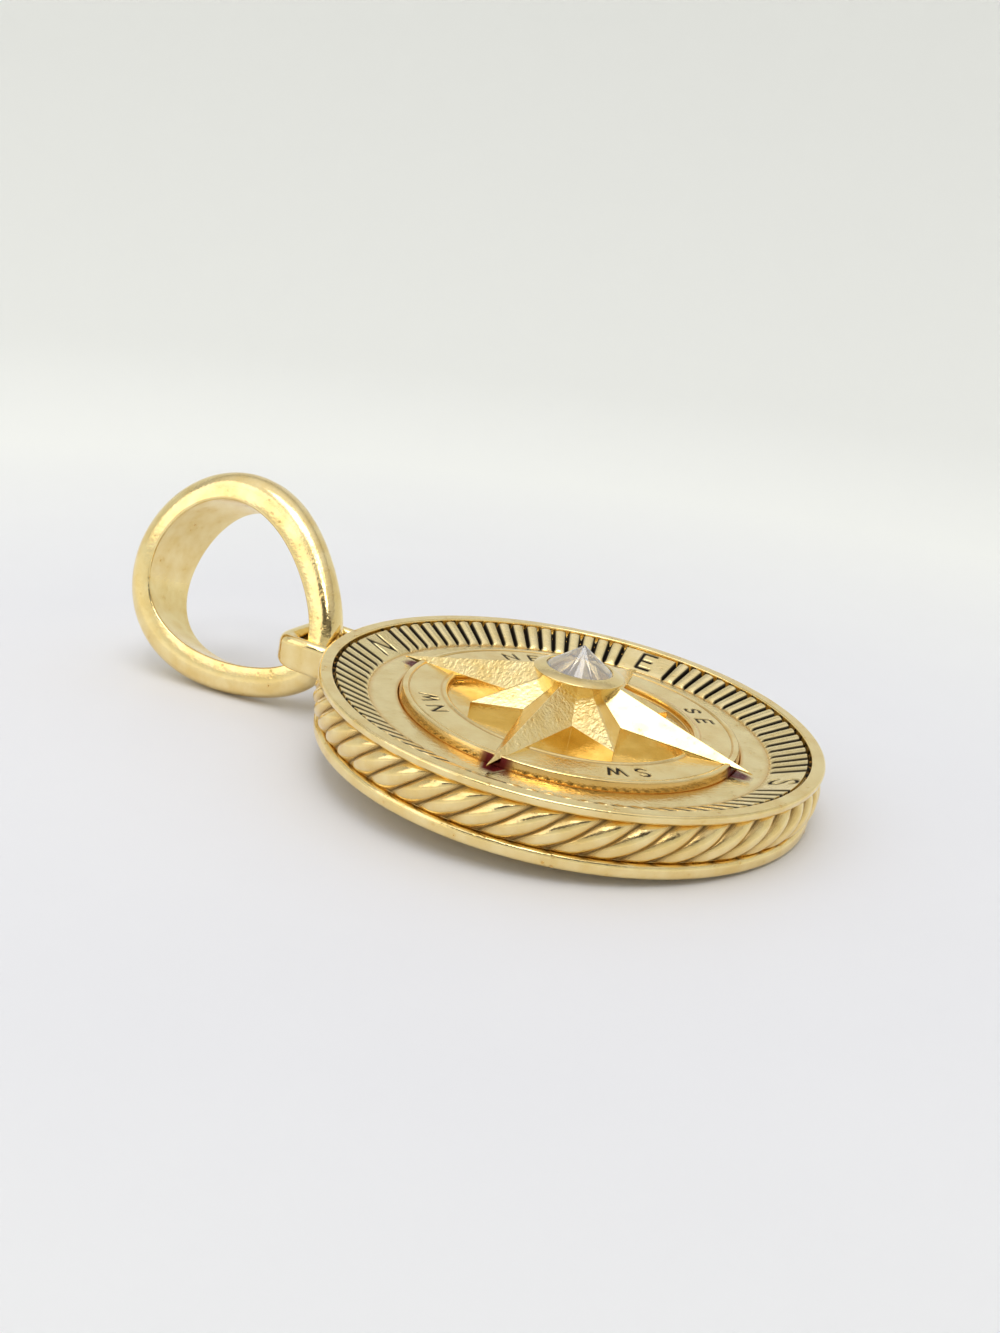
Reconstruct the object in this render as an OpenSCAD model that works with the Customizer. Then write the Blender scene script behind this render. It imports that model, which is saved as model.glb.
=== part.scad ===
// Compass pendant: a round case with a roped edge, a fluted dial ring, a raised plate
// with an eight-point star, a stone set point up in a conical collet, and a swinging bail.
// Millimetres, +Z up. The pendant lies face up, leaning on its own bail.

/* [Case] */
// Diameter over the rim and the rope
case_d = 25; // [20:0.5:40]
// Thickness of the case, back to rim top
case_t = 3.1; // [2.6:0.1:4]
// Thickness of the back plate
back_t = 1; // [0.6:0.1:1.4]
// Width of the flat top of the rim
rim_w = 0.72; // [0.5:0.01:1]
// Height of the rim band above the rope
rim_h = 0.5; // [0.4:0.05:0.7]
// Height of the plain flange below the rope
flange_h = 0.72; // [0.5:0.02:0.9]
// How far the flange is set in from the case's full radius
flange_in = 0.2; // [0.1:0.05:0.4]
// How deep the channel behind the rope is cut
channel_in = 0.55; // [0.4:0.05:0.6]
// Rounding of the rim and flange edges
edge_r = 0.22; // [0.1:0.02:0.24]

/* [Rope] */
// Number of strands round the edge
rope_strands = 50; // [36:1:64]
// Slant of each strand across the band, in strand pitches
rope_slant = 0.95; // [0.6:0.05:1.4]
// Depth of the groove between strands
rope_groove = 0.3; // [0.1:0.02:0.4]
// Stations per strand
rope_steps = 5; // [4:1:8]

/* [Dial ring] */
// Ribs in each quarter of the ring
ribs_per_quarter = 18; // [12:1:24]
// Half the angle of each plain lettered panel
panel_half_deg = 8; // [6:0.5:10]
// Width of the channel between the ribs and the rim
ring_channel = 0.18; // [0.1:0.01:0.3]
// Inner radius of the ribs
flute_in_r = 9.9; // [9.4:0.05:10.4]
// Height of the ribs' outer ends below the rim
flute_out_drop = 0.12; // [0.05:0.01:0.3]
// Height of the ribs' inner ends below the rim
flute_in_drop = 0.8; // [0.6:0.02:1]
// Width of the grooves at the outer end
groove_w = 0.24; // [0.15:0.01:0.35]
// Depth of the grooves
groove_d = 0.3; // [0.15:0.01:0.4]
// Height of the letters on the ring
ring_letter_h = 1.05; // [0.8:0.05:1.4]

/* [Plate] */
// Radius of the raised plate at its foot
plate_r = 8.49; // [8:0.05:9]
// Slope of the plate's wall, foot to top
plate_wall_in = 0.24; // [0.1:0.02:0.4]
// Drop of the plate's top below the rim
plate_drop = 0.44; // [0.3:0.02:0.6]
// Drop of the smooth annulus round the plate
annulus_drop = 0.86; // [0.7:0.02:1]
// Radius of the recess under the star
recess_r = 6.1; // [5.6:0.05:6.6]
// Drop of the recess floor below the rim
recess_drop = 0.66; // [0.5:0.02:0.8]
// Height of the letters on the plate
plate_letter_h = 0.82; // [0.6:0.02:1]

/* [Star] */
// Radius of the four long points
long_r = 9.4; // [8.6:0.05:9.7]
// Radius of the four short points
short_r = 5.3; // [4.6:0.05:6]
// Radius of the valleys between points
valley_r = 3.3; // [2.8:0.05:3.8]
// Height of the ridges' meeting point over the rim top
star_peak = 1.95; // [1.4:0.05:2.4]
// Drop of the long tips' tops below the rim
long_tip_drop = 0.56; // [0.4:0.02:0.7]
// Drop of the short tips' tops below the rim
short_tip_drop = 0.3; // [0.1:0.02:0.5]
// Drop of the valleys' tops below the rim
valley_drop = 0.04; // [0:0.02:0.4]

/* [Stone and collet] */
// Diameter of the stone at its girdle
stone_d = 3.24; // [2.6:0.02:3.6]
// Radius of the collet's lip
collet_r = 2.25; // [2:0.05:2.5]
// Height of the collet's lip over the rim top
collet_z = 1.6; // [1.3:0.05:2]
// Rise of the bezel's face from the lip to the stone
bezel_rise = 0.2; // [0.1:0.02:0.3]
// Radius of the collet's foot
collet_foot_r = 1.05; // [0.9:0.05:1.3]

/* [Loop] */
// Half the width between the loop's leg centres
loop_half_w = 1.84; // [1.7:0.02:2.2]
// Distance from the case centre to the bar's centre
bar_y = 15.7; // [15.4:0.02:16]
// Height of the bar's centre over the back
bar_z = 1.33; // [1.2:0.01:1.7]
// Thickness of the loop's legs in plan
leg_w = 0.76; // [0.6:0.02:1]
// Thickness of the loop's bar in plan
bar_w = 0.96; // [0.7:0.02:1.2]
// Height of the loop's legs
leg_h = 1.8; // [1.4:0.02:2]
// Height of the loop's bar
bar_h = 1.7; // [1.2:0.02:2]
// Rounding of the loop's edges, as a share of its thickness in plan
loop_round = 0.44; // [0.2:0.02:0.46]

/* [Bail] */
// Length of the bail's opening
bail_len = 10.84; // [9:0.1:12]
// Half height of the opening, before its taper
bail_half_h = 5.17; // [4.4:0.1:5.6]
// How much the opening narrows towards the loop
bail_taper = 0.47; // [0.3:0.01:0.6]
// Band width at the loop
band_w_loop = 1.66; // [1.4:0.02:1.8]
// Band width at the far end
band_w_far = 4.1; // [3:0.05:5]
// Thickness of the band's edges
band_edge_t = 0.5; // [0.3:0.02:0.7]
// Crown of the band over its edges at the loop
crown_loop = 1; // [0.6:0.02:1.1]
// Crown of the band over its edges at the far end
crown_far = 1.45; // [1:0.02:1.6]
// Rise of the bail's long axis from the case plane
bail_rise_deg = 18.2; // [14:0.1:22]
// Lean of the bail to one side in its loop
bail_roll_deg = 22; // [18:0.5:26]
// Clearance between the loop's bar and the bail
bail_slack = 0.3; // [0.2:0.02:0.4]
// How far below the bar's middle the bail hangs
bail_drop = 0.2; // [0:0.02:0.3]
// Turn of the bail in its loop
bail_yaw_deg = -11.8; // [-14:0.2:-8]

/* [Rest] */
// Angle at which the case leans on its bail
lean_deg = 4.78; // [0:0.02:6]

/* [Hidden] */

gold = "goldenrod";
bright_gold = "gold";
dark_gold = "darkgoldenrod";

gap = 0.02;                       // gap between neighbouring pieces
case_r = case_d / 2;
rim_in_r = case_r - rim_w;
channel_r = case_r - channel_in;
ledge_r = rim_in_r - 0.5;         // ledge inside the rim that the dial ring rests on
ledge_z = case_t - 0.56;
flange_r = case_r - flange_in;
seat_z = case_t - annulus_drop - 0.62;  // floor of the case that carries ring and plate
bore_fn = 128;

// Vector helpers
function polar(r, deg, z) = [r * sin(deg), r * cos(deg), z];
function rot_x(p, a) = [p[0], p[1] * cos(a) - p[2] * sin(a), p[1] * sin(a) + p[2] * cos(a)];
function rot_z(p, a) = [p[0] * cos(a) - p[1] * sin(a), p[0] * sin(a) + p[1] * cos(a), p[2]];
function wrap(i, n) = (i + n) % n;

// Closed tube of rings, each with the same number of points, joined into a loop
function loop_faces(rings, sides) = [
    for (i = [0 : rings - 1], j = [0 : sides - 1], half = [0, 1])
        let (a = i * sides + j,
             b = i * sides + wrap(j + 1, sides),
             c = wrap(i + 1, rings) * sides + wrap(j + 1, sides),
             d = wrap(i + 1, rings) * sides + j)
        half == 0 ? [a, c, b] : [a, d, c]
];

// Rod of rings closed by a flat face at each end
function rod_faces(rings, sides) = concat(
    [for (i = [0 : rings - 2], j = [0 : sides - 1], half = [0, 1])
        let (a = i * sides + j, b = i * sides + wrap(j + 1, sides))
        half == 0 ? [a, b + sides, b] : [a, a + sides, b + sides]],
    [[for (j = [0 : sides - 1]) j], [for (j = [sides - 1 : -1 : 0]) (rings - 1) * sides + j]]
);

// Placing of the whole pendant: the south edge of the back and the bail touch z = 0
foot_r = flange_r - edge_r;
lean_lift = foot_r * sin(lean_deg) + edge_r - edge_r * cos(lean_deg);

// Bail centre line: an oval that narrows towards the loop, seen from the side.
// t is 180 at the loop and 0 at the far end. Returns [along, across].
bail_a = bail_len / 2;
bail_rings = 60;
bail_end_y = bar_y - bar_w / 2 - bail_slack;
function reach(t) = (cos(t) + 1) / 2;
function oval(t) = [bail_a * cos(t), bail_half_h * sin(t) * (1 - bail_taper * (1 - reach(t)))];
function oval_normal(t) =
    let (d = oval(t + 0.5) - oval(t - 0.5), l = norm(d))
    [d[1] / l, -d[0] / l];
// Widening of the band from the loop to the far end follows a power of the reach
function half_band(t) = band_w_loop / 2 + (band_w_far - band_w_loop) / 2 * pow(reach(t), 2.2);
function crown(t) = crown_loop + (crown_far - crown_loop) * reach(t);
// Half-oval section as [across the band, out from the inner face]: a gently dished inner
// face with softened edges, then a domed outer face.
dome_steps = 10;
dish = 0.06;
soft_edge = 0.14;
function section(t) =
    let (w = half_band(t))
    concat(
        [[-w, soft_edge], [soft_edge - w, 0], [0, dish], [w - soft_edge, 0], [w, soft_edge]],
        [for (k = [0 : dome_steps])
            let (a = 180 * k / dome_steps)
            [w * cos(a), band_edge_t + crown(t) * sin(a)]]
    );
section_sides = dome_steps + 6;
// From the bail's own axes (across band, along, up) to the case's frame
function bail_place(p) =
    let (q = rot_x([p[0] * cos(bail_roll_deg) + p[2] * sin(bail_roll_deg), p[1],
                    -p[0] * sin(bail_roll_deg) + p[2] * cos(bail_roll_deg)], bail_rise_deg))
    rot_z(q, bail_yaw_deg);
loop_point_t = 180 - 8;
function bail_local(t, w, out) =
    let (o = oval(t), n = oval_normal(t))
    [w, o[0] + n[0] * out, o[1] + n[1] * out];
bail_shift = [0, bail_end_y, bar_z - bail_drop] - bail_place(bail_local(loop_point_t, 0, 0));
bail_points = [
    for (i = [0 : bail_rings - 1])
        let (t = i * 360 / bail_rings)
        for (s = section(t)) bail_place(bail_local(t, s[0], s[1])) + bail_shift
];

// Middle of the lying pendant along Y, from its south edge to the bail's far end
bail_far_y = max([for (p = bail_points) rot_x(p, lean_deg)[1]]);
south_y = -max([for (z = [0 : 0.05 : case_t]) case_edge(z) * cos(lean_deg) + z * sin(lean_deg)]);
function case_edge(z) = z > case_t - rim_h ? case_r - 0.05 : z < flange_h ? flange_r : case_r;
mid_y = (bail_far_y + south_y) / 2;

module lying() {
    translate([0, -mid_y, lean_lift]) rotate([lean_deg, 0, 0]) children();
}

// Quarter circle of points for a rounded profile corner
function corner(cx, cy, r, from, to) = [
    for (k = [0 : 4]) let (a = from + (to - from) * k / 4) [cx + r * cos(a), cy + r * sin(a)]
];

module case_profile() {
    polygon(concat(
        [[0, 0]],
        corner(flange_r - edge_r, edge_r, edge_r, -90, 0),
        corner(flange_r - edge_r, flange_h - edge_r, edge_r, 0, 90),
        [[channel_r, flange_h], [channel_r, case_t - rim_h]],
        corner(case_r - 0.05 - edge_r, case_t - rim_h + edge_r, edge_r, -90, 0),
        corner(case_r - 0.05 - edge_r, case_t - edge_r, edge_r, 0, 90),
        corner(rim_in_r + 0.1, case_t - 0.1, 0.1, 90, 180),
        [[rim_in_r, ledge_z], [ledge_r, ledge_z], [ledge_r, seat_z], [0, seat_z]]
    ));
}

// The loop is a flat staple: two legs, two bends and a bar, with rounded edges.
// Each station is [x, y, heading of its outer side, thickness in plan, height].
bend_r = 0.9;
leg_end_y = bar_y - bend_r;
leg_start_y = channel_r - 0.6;
bend_steps = 6;
function loop_bend(side, from) = [
    for (k = [0 : bend_steps])
        let (a = from - 90 * k / bend_steps)
        [side * (loop_half_w - bend_r) + bend_r * cos(a), leg_end_y + bend_r * sin(a), a,
         leg_w + (bar_w - leg_w) * sin(a), leg_h + (bar_h - leg_h) * sin(a)]
];
loop_path = concat([[-loop_half_w, leg_start_y, 180, leg_w, leg_h]], loop_bend(-1, 180),
                   loop_bend(1, 90), [[loop_half_w, leg_start_y, 0, leg_w, leg_h]]);
// Rounded rectangle w wide and h high, as points [across, up]
function rounded(w, h, r) = concat(
    corner(w / 2 - r, h / 2 - r, r, 0, 90), corner(r - w / 2, h / 2 - r, r, 90, 180),
    corner(r - w / 2, r - h / 2, r, 180, 270), corner(w / 2 - r, r - h / 2, r, 270, 360)
);
wire_sides = 20;
loop_points = [
    for (p = loop_path, s = rounded(p[3], p[4], loop_round * p[3]))
        [p[0] + s[0] * cos(p[2]), p[1] + s[0] * sin(p[2]), bar_z + s[1]]
];
module loop() {
    polyhedron(loop_points, rod_faces(len(loop_path), wire_sides));
}

module case() {
    color(gold) lying() union() {
        rotate_extrude($fn = bore_fn) case_profile();
        loop();
    }
}

// Rope: strands as humps that run round the edge and slant across the band
rope_z0 = flange_h + 0.05;
rope_z1 = case_t - rim_h - 0.05;
rope_rows = 7;
rope_floor_r = channel_r + gap;
rope_crest_r = case_r;
function rope_height(v, phase) =
    let (bulge = pow(sin(180 * v), 0.45),
         strand = pow(abs(sin(180 * phase)), 0.62))
    bulge * (rope_crest_r - rope_floor_r - rope_groove * (1 - strand)) * 0.98
        + 0.02 * (rope_crest_r - rope_floor_r);
rope_rings = rope_strands * rope_steps;
// Seen from outside, a strand's top lies towards lower angles than its foot
function rope_ring(i) =
    let (turn = i / rope_steps)
    concat(
        [for (k = [0 : rope_rows - 1])
            let (v = k / (rope_rows - 1),
                 deg = (turn - rope_slant * (v - 0.5)) * 360 / rope_strands,
                 z = rope_z0 + (rope_z1 - rope_z0) * v)
            polar(rope_floor_r + rope_height(v, turn), deg, z)],
        [for (v = [1, 0.5, 0])
            polar(rope_floor_r, (turn - rope_slant * (v - 0.5)) * 360 / rope_strands,
                  rope_z0 + (rope_z1 - rope_z0) * v)]
    );
// The rope is notched where the loop's legs pass through it
module rope_band() {
    color(gold) lying() difference() {
        polyhedron(
            [for (i = [0 : rope_rings - 1]) each rope_ring(i)],
            loop_faces(rope_rings, rope_rows + 3)
        );
        for (side = [-1, 1])
            translate([side * loop_half_w, case_r, bar_z])
                cube([leg_w + 2 * gap, 3, leg_h + 2 * gap], center = true);
    }
}

// Straight-stroke letters on a unit square, as [x0, y0, x1, y1] strokes
letter_n = [[0, 0, 0, 1], [0, 1, 0.7, 0], [0.7, 0, 0.7, 1]];
letter_e = [[0, 0, 0, 1], [0, 1, 0.6, 1], [0, 0.5, 0.5, 0.5], [0, 0, 0.6, 0]];
letter_w = [[0, 1, 0.25, 0], [0.25, 0, 0.5, 0.8], [0.5, 0.8, 0.75, 0], [0.75, 0, 1, 1]];
letter_s = [[0.62, 0.86, 0.4, 1], [0.4, 1, 0.12, 0.94], [0.12, 0.94, 0.04, 0.72],
            [0.04, 0.72, 0.2, 0.56], [0.2, 0.56, 0.48, 0.44], [0.48, 0.44, 0.62, 0.26],
            [0.62, 0.26, 0.52, 0.06], [0.52, 0.06, 0.24, 0], [0.24, 0, 0.02, 0.12]];
stroke_w = 0.12;

// One engraved letter, its foot towards the centre of the dial
module letter(strokes, width, size, depth) {
    for (s = strokes) {
        d = [s[2] - s[0], s[3] - s[1]] * size;
        translate([(s[0] - width / 2) * size, (s[1] - 0.5) * size, 0])
            rotate([0, 0, atan2(d[1], d[0])])
                translate([-stroke_w / 2, -stroke_w / 2, -depth])
                    cube([norm(d) + stroke_w, stroke_w, 2 * depth]);
    }
}

ring_seat_r = plate_r + gap;
ring_out_r = rim_in_r - gap;
flute_out_r = rim_in_r - ring_channel;
flute_z0 = case_t - flute_in_drop;
flute_z1 = case_t - flute_out_drop;
flute_slope = atan2(flute_z1 - flute_z0, flute_out_r - flute_in_r);
flute_run = norm([flute_z1 - flute_z0, flute_out_r - flute_in_r]);
quarter_step = (90 - 2 * panel_half_deg) / ribs_per_quarter;
groove_angles = [
    for (q = [0 : 3], k = [0 : ribs_per_quarter])
        90 * q + panel_half_deg + k * quarter_step
];

module fluted_profile() {
    polygon([
        [ring_seat_r, seat_z + gap], [ledge_r - gap, seat_z + gap],
        [ledge_r - gap, ledge_z + gap], [ring_out_r, ledge_z + gap],
        [ring_out_r, flute_z1 - groove_d], [flute_out_r, flute_z1 - groove_d],
        [flute_out_r, flute_z1 - 0.06], [flute_out_r - 0.06, flute_z1],
        [flute_in_r + 0.05, flute_z0], [flute_in_r, flute_z0 - 0.06],
        [flute_in_r, case_t - annulus_drop], [ring_seat_r, case_t - annulus_drop]
    ]);
}

module fluted_ring() {
    color(dark_gold) lying() difference() {
        rotate_extrude($fn = bore_fn) fluted_profile();
        for (a = groove_angles)
            rotate([0, 0, -a]) translate([0, flute_in_r - 0.05, flute_z0]) rotate([flute_slope, 0, 0])
                translate([0, 0, -groove_d]) linear_extrude(2 * groove_d)
                    polygon([[-groove_w * 0.3, 0.05], [groove_w * 0.3, 0.05],
                             [groove_w / 2, flute_run + 0.3], [-groove_w / 2, flute_run + 0.3]]);
        letter_r = (flute_in_r + flute_out_r) / 2;
        for (l = [[0, letter_n, 0.7], [90, letter_e, 0.6], [180, letter_s, 0.64], [270, letter_w, 1]])
            rotate([0, 0, -l[0]])
                translate([0, letter_r, (flute_z0 + flute_z1) / 2]) rotate([flute_slope, 0, 0])
                    letter(l[1], l[2], ring_letter_h, groove_d * 0.7);
        star_solid(gap);
    }
}

plate_top = case_t - plate_drop;
recess_z = case_t - recess_drop;
lip_w = 0.34;                     // plain edge of the plate outside its thin line
line_w = 0.07;                    // width of the turned lines
module plate_profile() {
    top_r = plate_r - plate_wall_in;
    polygon([
        [0, seat_z + gap], [plate_r, seat_z + gap], [plate_r, case_t - annulus_drop],
        [top_r, plate_top - 0.03], [top_r - 0.05, plate_top],
        [top_r - lip_w, plate_top], [top_r - lip_w, plate_top - 0.04],
        [top_r - lip_w - line_w, plate_top - 0.04], [top_r - lip_w - line_w, plate_top],
        [recess_r, plate_top], [recess_r, recess_z], [0, recess_z]
    ]);
}

// Foot outline of the star, tip by tip: long point, valley, short point, valley
function star_r(k) = k % 2 == 1 ? valley_r : k % 4 == 0 ? long_r : short_r;
function star_top(k) =
    case_t - (k % 2 == 1 ? valley_drop : k % 4 == 0 ? long_tip_drop : short_tip_drop);
star_foot_z = seat_z + 0.34;
// How far each corner moves out for the walls to move out evenly by 1
function star_spread(k) = k % 2 == 1 ? 1.8 : k % 4 == 0 ? 5.2 : 2.1;
module star_solid(grow) {
    pts = concat(
        [for (k = [0 : 15]) polar(star_r(k) + grow * star_spread(k), k * 22.5, star_foot_z - grow)],
        [for (k = [0 : 15]) polar(star_r(k) + grow * star_spread(k), k * 22.5, star_top(k))],
        [[0, 0, star_foot_z - grow], [0, 0, case_t + star_peak]]
    );
    polyhedron(pts, [
        for (k = [0 : 15]) let (n = wrap(k + 1, 16)) each
            [[k, 16 + n, 16 + k], [k, n, 16 + n], [16 + k, 16 + n, 33], [k, 32, n]]
    ]);
}

module plate_letters() {
    letter_r = (recess_r + plate_r - plate_wall_in - lip_w) / 2;
    spread = 6.2;
    pairs = [[45, letter_n, 0.7, letter_e, 0.6], [135, letter_s, 0.64, letter_e, 0.6],
             [225, letter_s, 0.64, letter_w, 1], [315, letter_n, 0.7, letter_w, 1]];
    for (p = pairs) {
        rotate([0, 0, -p[0] + spread]) translate([0, letter_r, plate_top])
            letter(p[1], p[2], plate_letter_h, 0.1);
        rotate([0, 0, -p[0] - spread]) translate([0, letter_r, plate_top])
            letter(p[3], p[4], plate_letter_h, 0.1);
    }
}

// The plate takes the star in a pocket of its own outline
module compass_plate() {
    color(gold) lying() difference() {
        rotate_extrude($fn = bore_fn) plate_profile();
        plate_letters();
        star_solid(gap);
    }
}

// Conical pocket that the collet sits in
collet_foot_z = case_t - 0.9;
lip_z = case_t + collet_z;
module collet_cone(grow) {
    translate([0, 0, collet_foot_z - grow])
        cylinder(h = lip_z - collet_foot_z + grow, r1 = collet_foot_r + grow,
                 r2 = collet_r + grow + 0.03, $fn = bore_fn);
}

module compass_star() {
    color(bright_gold) lying() difference() {
        star_solid(0);
        collet_cone(gap);
        translate([0, 0, lip_z]) cylinder(h = 3, r = collet_r + 0.2, $fn = bore_fn);
    }
}

stone_r = stone_d / 2;
girdle_z = lip_z + bezel_rise - 0.12;
cup_r = stone_r + gap;
module stone_collet() {
    wall = 0.34;
    color(gold) lying() rotate_extrude($fn = bore_fn) polygon([
        [0, collet_foot_z], [collet_foot_r, collet_foot_z],
        [collet_r - 0.03, lip_z - 0.1], [collet_r, lip_z - 0.05], [collet_r - 0.03, lip_z],
        [stone_r + 0.05, lip_z + bezel_rise], [cup_r, lip_z + bezel_rise - 0.05],
        [cup_r, girdle_z - 0.1], [stone_r - wall, girdle_z - 0.62],
        [stone_r - wall, girdle_z - 0.95], [0, girdle_z - 0.95]
    ]);
}

// Round brilliant set upside down: table below, pavilion and culet above.
// Rings of points: table, crown breaks, girdle foot, girdle top, pavilion breaks, culet.
table_share = 0.56;
crown_h = 0.15 * stone_d;
girdle_h = 0.03 * stone_d;
pavilion_h = 0.37 * stone_d;
break_r = 0.8 * stone_r;
break_drop = crown_h * 0.56;
pav_break_r = 0.26 * stone_r;
module stone() {
    z0 = girdle_z - girdle_h / 2;
    z1 = girdle_z + girdle_h / 2;
    table_ring = [for (k = [0 : 7]) polar(table_share * stone_r, k * 45, z0 - crown_h)];
    crown_ring = [for (k = [0 : 7]) polar(break_r, k * 45 + 22.5, z0 - break_drop)];
    girdle_foot = [for (k = [0 : 15]) polar(stone_r, k * 22.5, z0)];
    girdle_top = [for (k = [0 : 15]) polar(stone_r, k * 22.5, z1)];
    pav_z = z1 + pavilion_h * (1 - pav_break_r / stone_r) * 0.97;
    pav_ring = [for (k = [0 : 7]) polar(pav_break_r, k * 45 + 22.5, pav_z)];
    pts = concat(table_ring, crown_ring, girdle_foot, girdle_top, pav_ring,
                 [[0, 0, z1 + pavilion_h]]);
    faces = concat(
        [[for (k = [7 : -1 : 0]) k]],
        [for (k = [0 : 7]) let (n = wrap(k + 1, 8)) [k, n, 8 + k]],
        [for (k = [0 : 7]) let (p = wrap(k - 1, 8)) each
            [[k, 8 + k, 16 + 2 * k], [8 + p, k, 16 + 2 * k]]],
        [for (k = [0 : 7]) let (n = wrap(2 * k + 2, 16)) each
            [[8 + k, 16 + 2 * k + 1, 16 + 2 * k], [8 + k, 16 + n, 16 + 2 * k + 1]]],
        [for (k = [0 : 15]) let (n = wrap(k + 1, 16)) each
            [[16 + k, 16 + n, 32 + n], [16 + k, 32 + n, 32 + k]]],
        [for (k = [0 : 7]) let (n = wrap(2 * k + 2, 16)) each
            [[32 + 2 * k, 32 + 2 * k + 1, 48 + k], [32 + 2 * k + 1, 32 + n, 48 + k]]],
        [for (k = [0 : 7]) let (p = wrap(k - 1, 8)) each
            [[48 + p, 32 + 2 * k, 48 + k], [48 + p, 48 + k, 56]]]
    );
    color("lightcyan", 0.35) lying() polyhedron(pts, faces);
}

module bail() {
    color(gold) lying() polyhedron(bail_points, loop_faces(bail_rings, section_sides));
}

case();
rope_band();
fluted_ring();
compass_plate();
compass_star();
stone_collet();
stone();
bail();
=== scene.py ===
"""Compass pendant in yellow gold, lying face up on a pale surface and leaning on its bail.

Every piece is worked out in the case's own plane, in millimetres: +Y towards the N of the dial,
+X towards E, z = 0 on the back. Lie.place then leans it as it lies, in metres.
"""
import logging
import math
from dataclasses import dataclass, field
from enum import Enum

import bpy
import mathutils
import numpy as np
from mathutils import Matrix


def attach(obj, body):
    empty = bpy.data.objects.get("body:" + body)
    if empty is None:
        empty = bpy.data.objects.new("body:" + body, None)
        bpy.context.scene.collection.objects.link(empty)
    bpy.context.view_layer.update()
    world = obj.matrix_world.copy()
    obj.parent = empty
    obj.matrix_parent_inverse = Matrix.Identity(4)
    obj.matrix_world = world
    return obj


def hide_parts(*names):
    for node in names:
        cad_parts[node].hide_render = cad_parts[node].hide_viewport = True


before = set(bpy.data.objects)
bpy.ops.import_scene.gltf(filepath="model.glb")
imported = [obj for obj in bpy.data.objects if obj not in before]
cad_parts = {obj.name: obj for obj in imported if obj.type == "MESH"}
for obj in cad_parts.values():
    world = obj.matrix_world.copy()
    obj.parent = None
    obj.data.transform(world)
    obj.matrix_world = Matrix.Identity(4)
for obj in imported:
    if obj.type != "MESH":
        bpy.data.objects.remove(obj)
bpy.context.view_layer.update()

LOG = logging.getLogger("compass_pendant")

Points = np.ndarray
Colour = tuple[float, float, float]
Faces = list[tuple[int, ...]]
Strokes = list[tuple[float, float, float, float]]

MM = 0.001
QUARTERS = np.array([0.0, 90.0, 180.0, 270.0])


class Body(Enum):
    """The two rigid bodies of the pendant."""

    PENDANT = "pendant"
    BAIL = "bail"


class Texture(Enum):
    """How the skin of the gold was left."""

    POLISHED = "polished"
    CAST = "cast"
    SATIN = "satin"


@dataclass(frozen=True)
class Lie:
    """How the pendant lies: the case leans on its bail about the east-west line.

    foot_r and edge_r are the flange's flat foot and the rounding outside it, on which the case
    rests near S. mid_y is half-way between the bail's far end and the case's.
    """

    lean_deg: float = 4.78
    mid_y: float = 7.18923
    foot_r: float = 12.08
    edge_r: float = 0.22

    def lift(self) -> float:
        """Height of the leaned back's middle: the foot's rise, plus what the round edge adds."""
        a = math.radians(self.lean_deg)
        return self.foot_r * math.sin(a) + self.edge_r * (1.0 - math.cos(a))

    def turn(self, v: Points) -> Points:
        """Turns vectors of the case's plane by the lean about X.

        Args:
            v: vectors, the last axis being x, y, z.

        Returns:
            The turned vectors.
        """
        a = math.radians(self.lean_deg)
        y = v[..., 1] * math.cos(a) - v[..., 2] * math.sin(a)
        z = v[..., 1] * math.sin(a) + v[..., 2] * math.cos(a)
        return np.stack([v[..., 0], y, z], -1)

    def place(self, p: Points) -> Points:
        """Takes points of the case's plane in millimetres to the row's frame in metres."""
        return (self.turn(p) + np.array([0.0, -self.mid_y, self.lift()])) * MM


LIE = Lie()


def smooth_step(x: Points, low: float, high: float) -> Points:
    """Cubic step of x, 0 below low and 1 above high."""
    t = np.clip((x - low) / (high - low), 0.0, 1.0)
    return t * t * (3.0 - 2.0 * t)


def polar(r: Points, azimuth: Points, z: Points) -> Points:
    """Points about the case's axis.

    Args:
        r: radii.
        azimuth: compass azimuths in degrees, clockwise from N.
        z: heights.

    Returns:
        x, y, z along a new last axis: r times the azimuth's sine, r times its cosine, z.
    """
    a = np.radians(azimuth)
    r, a, z = np.broadcast_arrays(r, a, z)
    return np.stack([r * np.sin(a), r * np.cos(a), z], -1)


def arc(centre: tuple[float, float], radius: float, start: float, end: float, steps: int = 6) -> Points:
    """Points of a circular arc in a profile's plane.

    Args:
        centre: centre of the arc.
        radius: its radius.
        start: angle of the first point, in degrees.
        end: angle of the last point, in degrees.
        steps: number of chords.

    Returns:
        An array of steps + 1 points.
    """
    a = np.radians(np.linspace(start, end, steps + 1))
    return np.stack([centre[0] + radius * np.cos(a), centre[1] + radius * np.sin(a)], -1)


def off_quarter(azimuth: Points) -> Points:
    """Signed way in degrees from each azimuth to the nearest of N, E, S and W."""
    return (azimuth + 45.0) % 90.0 - 45.0


def half_turn(azimuth: Points) -> Points:
    """Takes differences of azimuths to the range from -180 to 180 degrees."""
    return (azimuth + 180.0) % 360.0 - 180.0


def distance_to_strokes(u: Points, v: Points, strokes: Strokes) -> Points:
    """Distance from each point (u, v) to the nearest of the straight strokes.

    The distance to one stroke is that to the point of it nearest along its own direction,
    held between its two ends.

    Args:
        u: the points' places across.
        v: the points' places up.
        strokes: both ends of each stroke.

    Returns:
        The least distance at each point.
    """
    best = np.full(np.broadcast(u, v).shape, 1e9)
    for x0, y0, x1, y1 in strokes:
        dx, dy = x1 - x0, y1 - y0
        t = np.clip(((u - x0) * dx + (v - y0) * dy) / (dx * dx + dy * dy), 0.0, 1.0)
        best = np.minimum(best, np.hypot(u - x0 - t * dx, v - y0 - t * dy))
    return best


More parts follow.
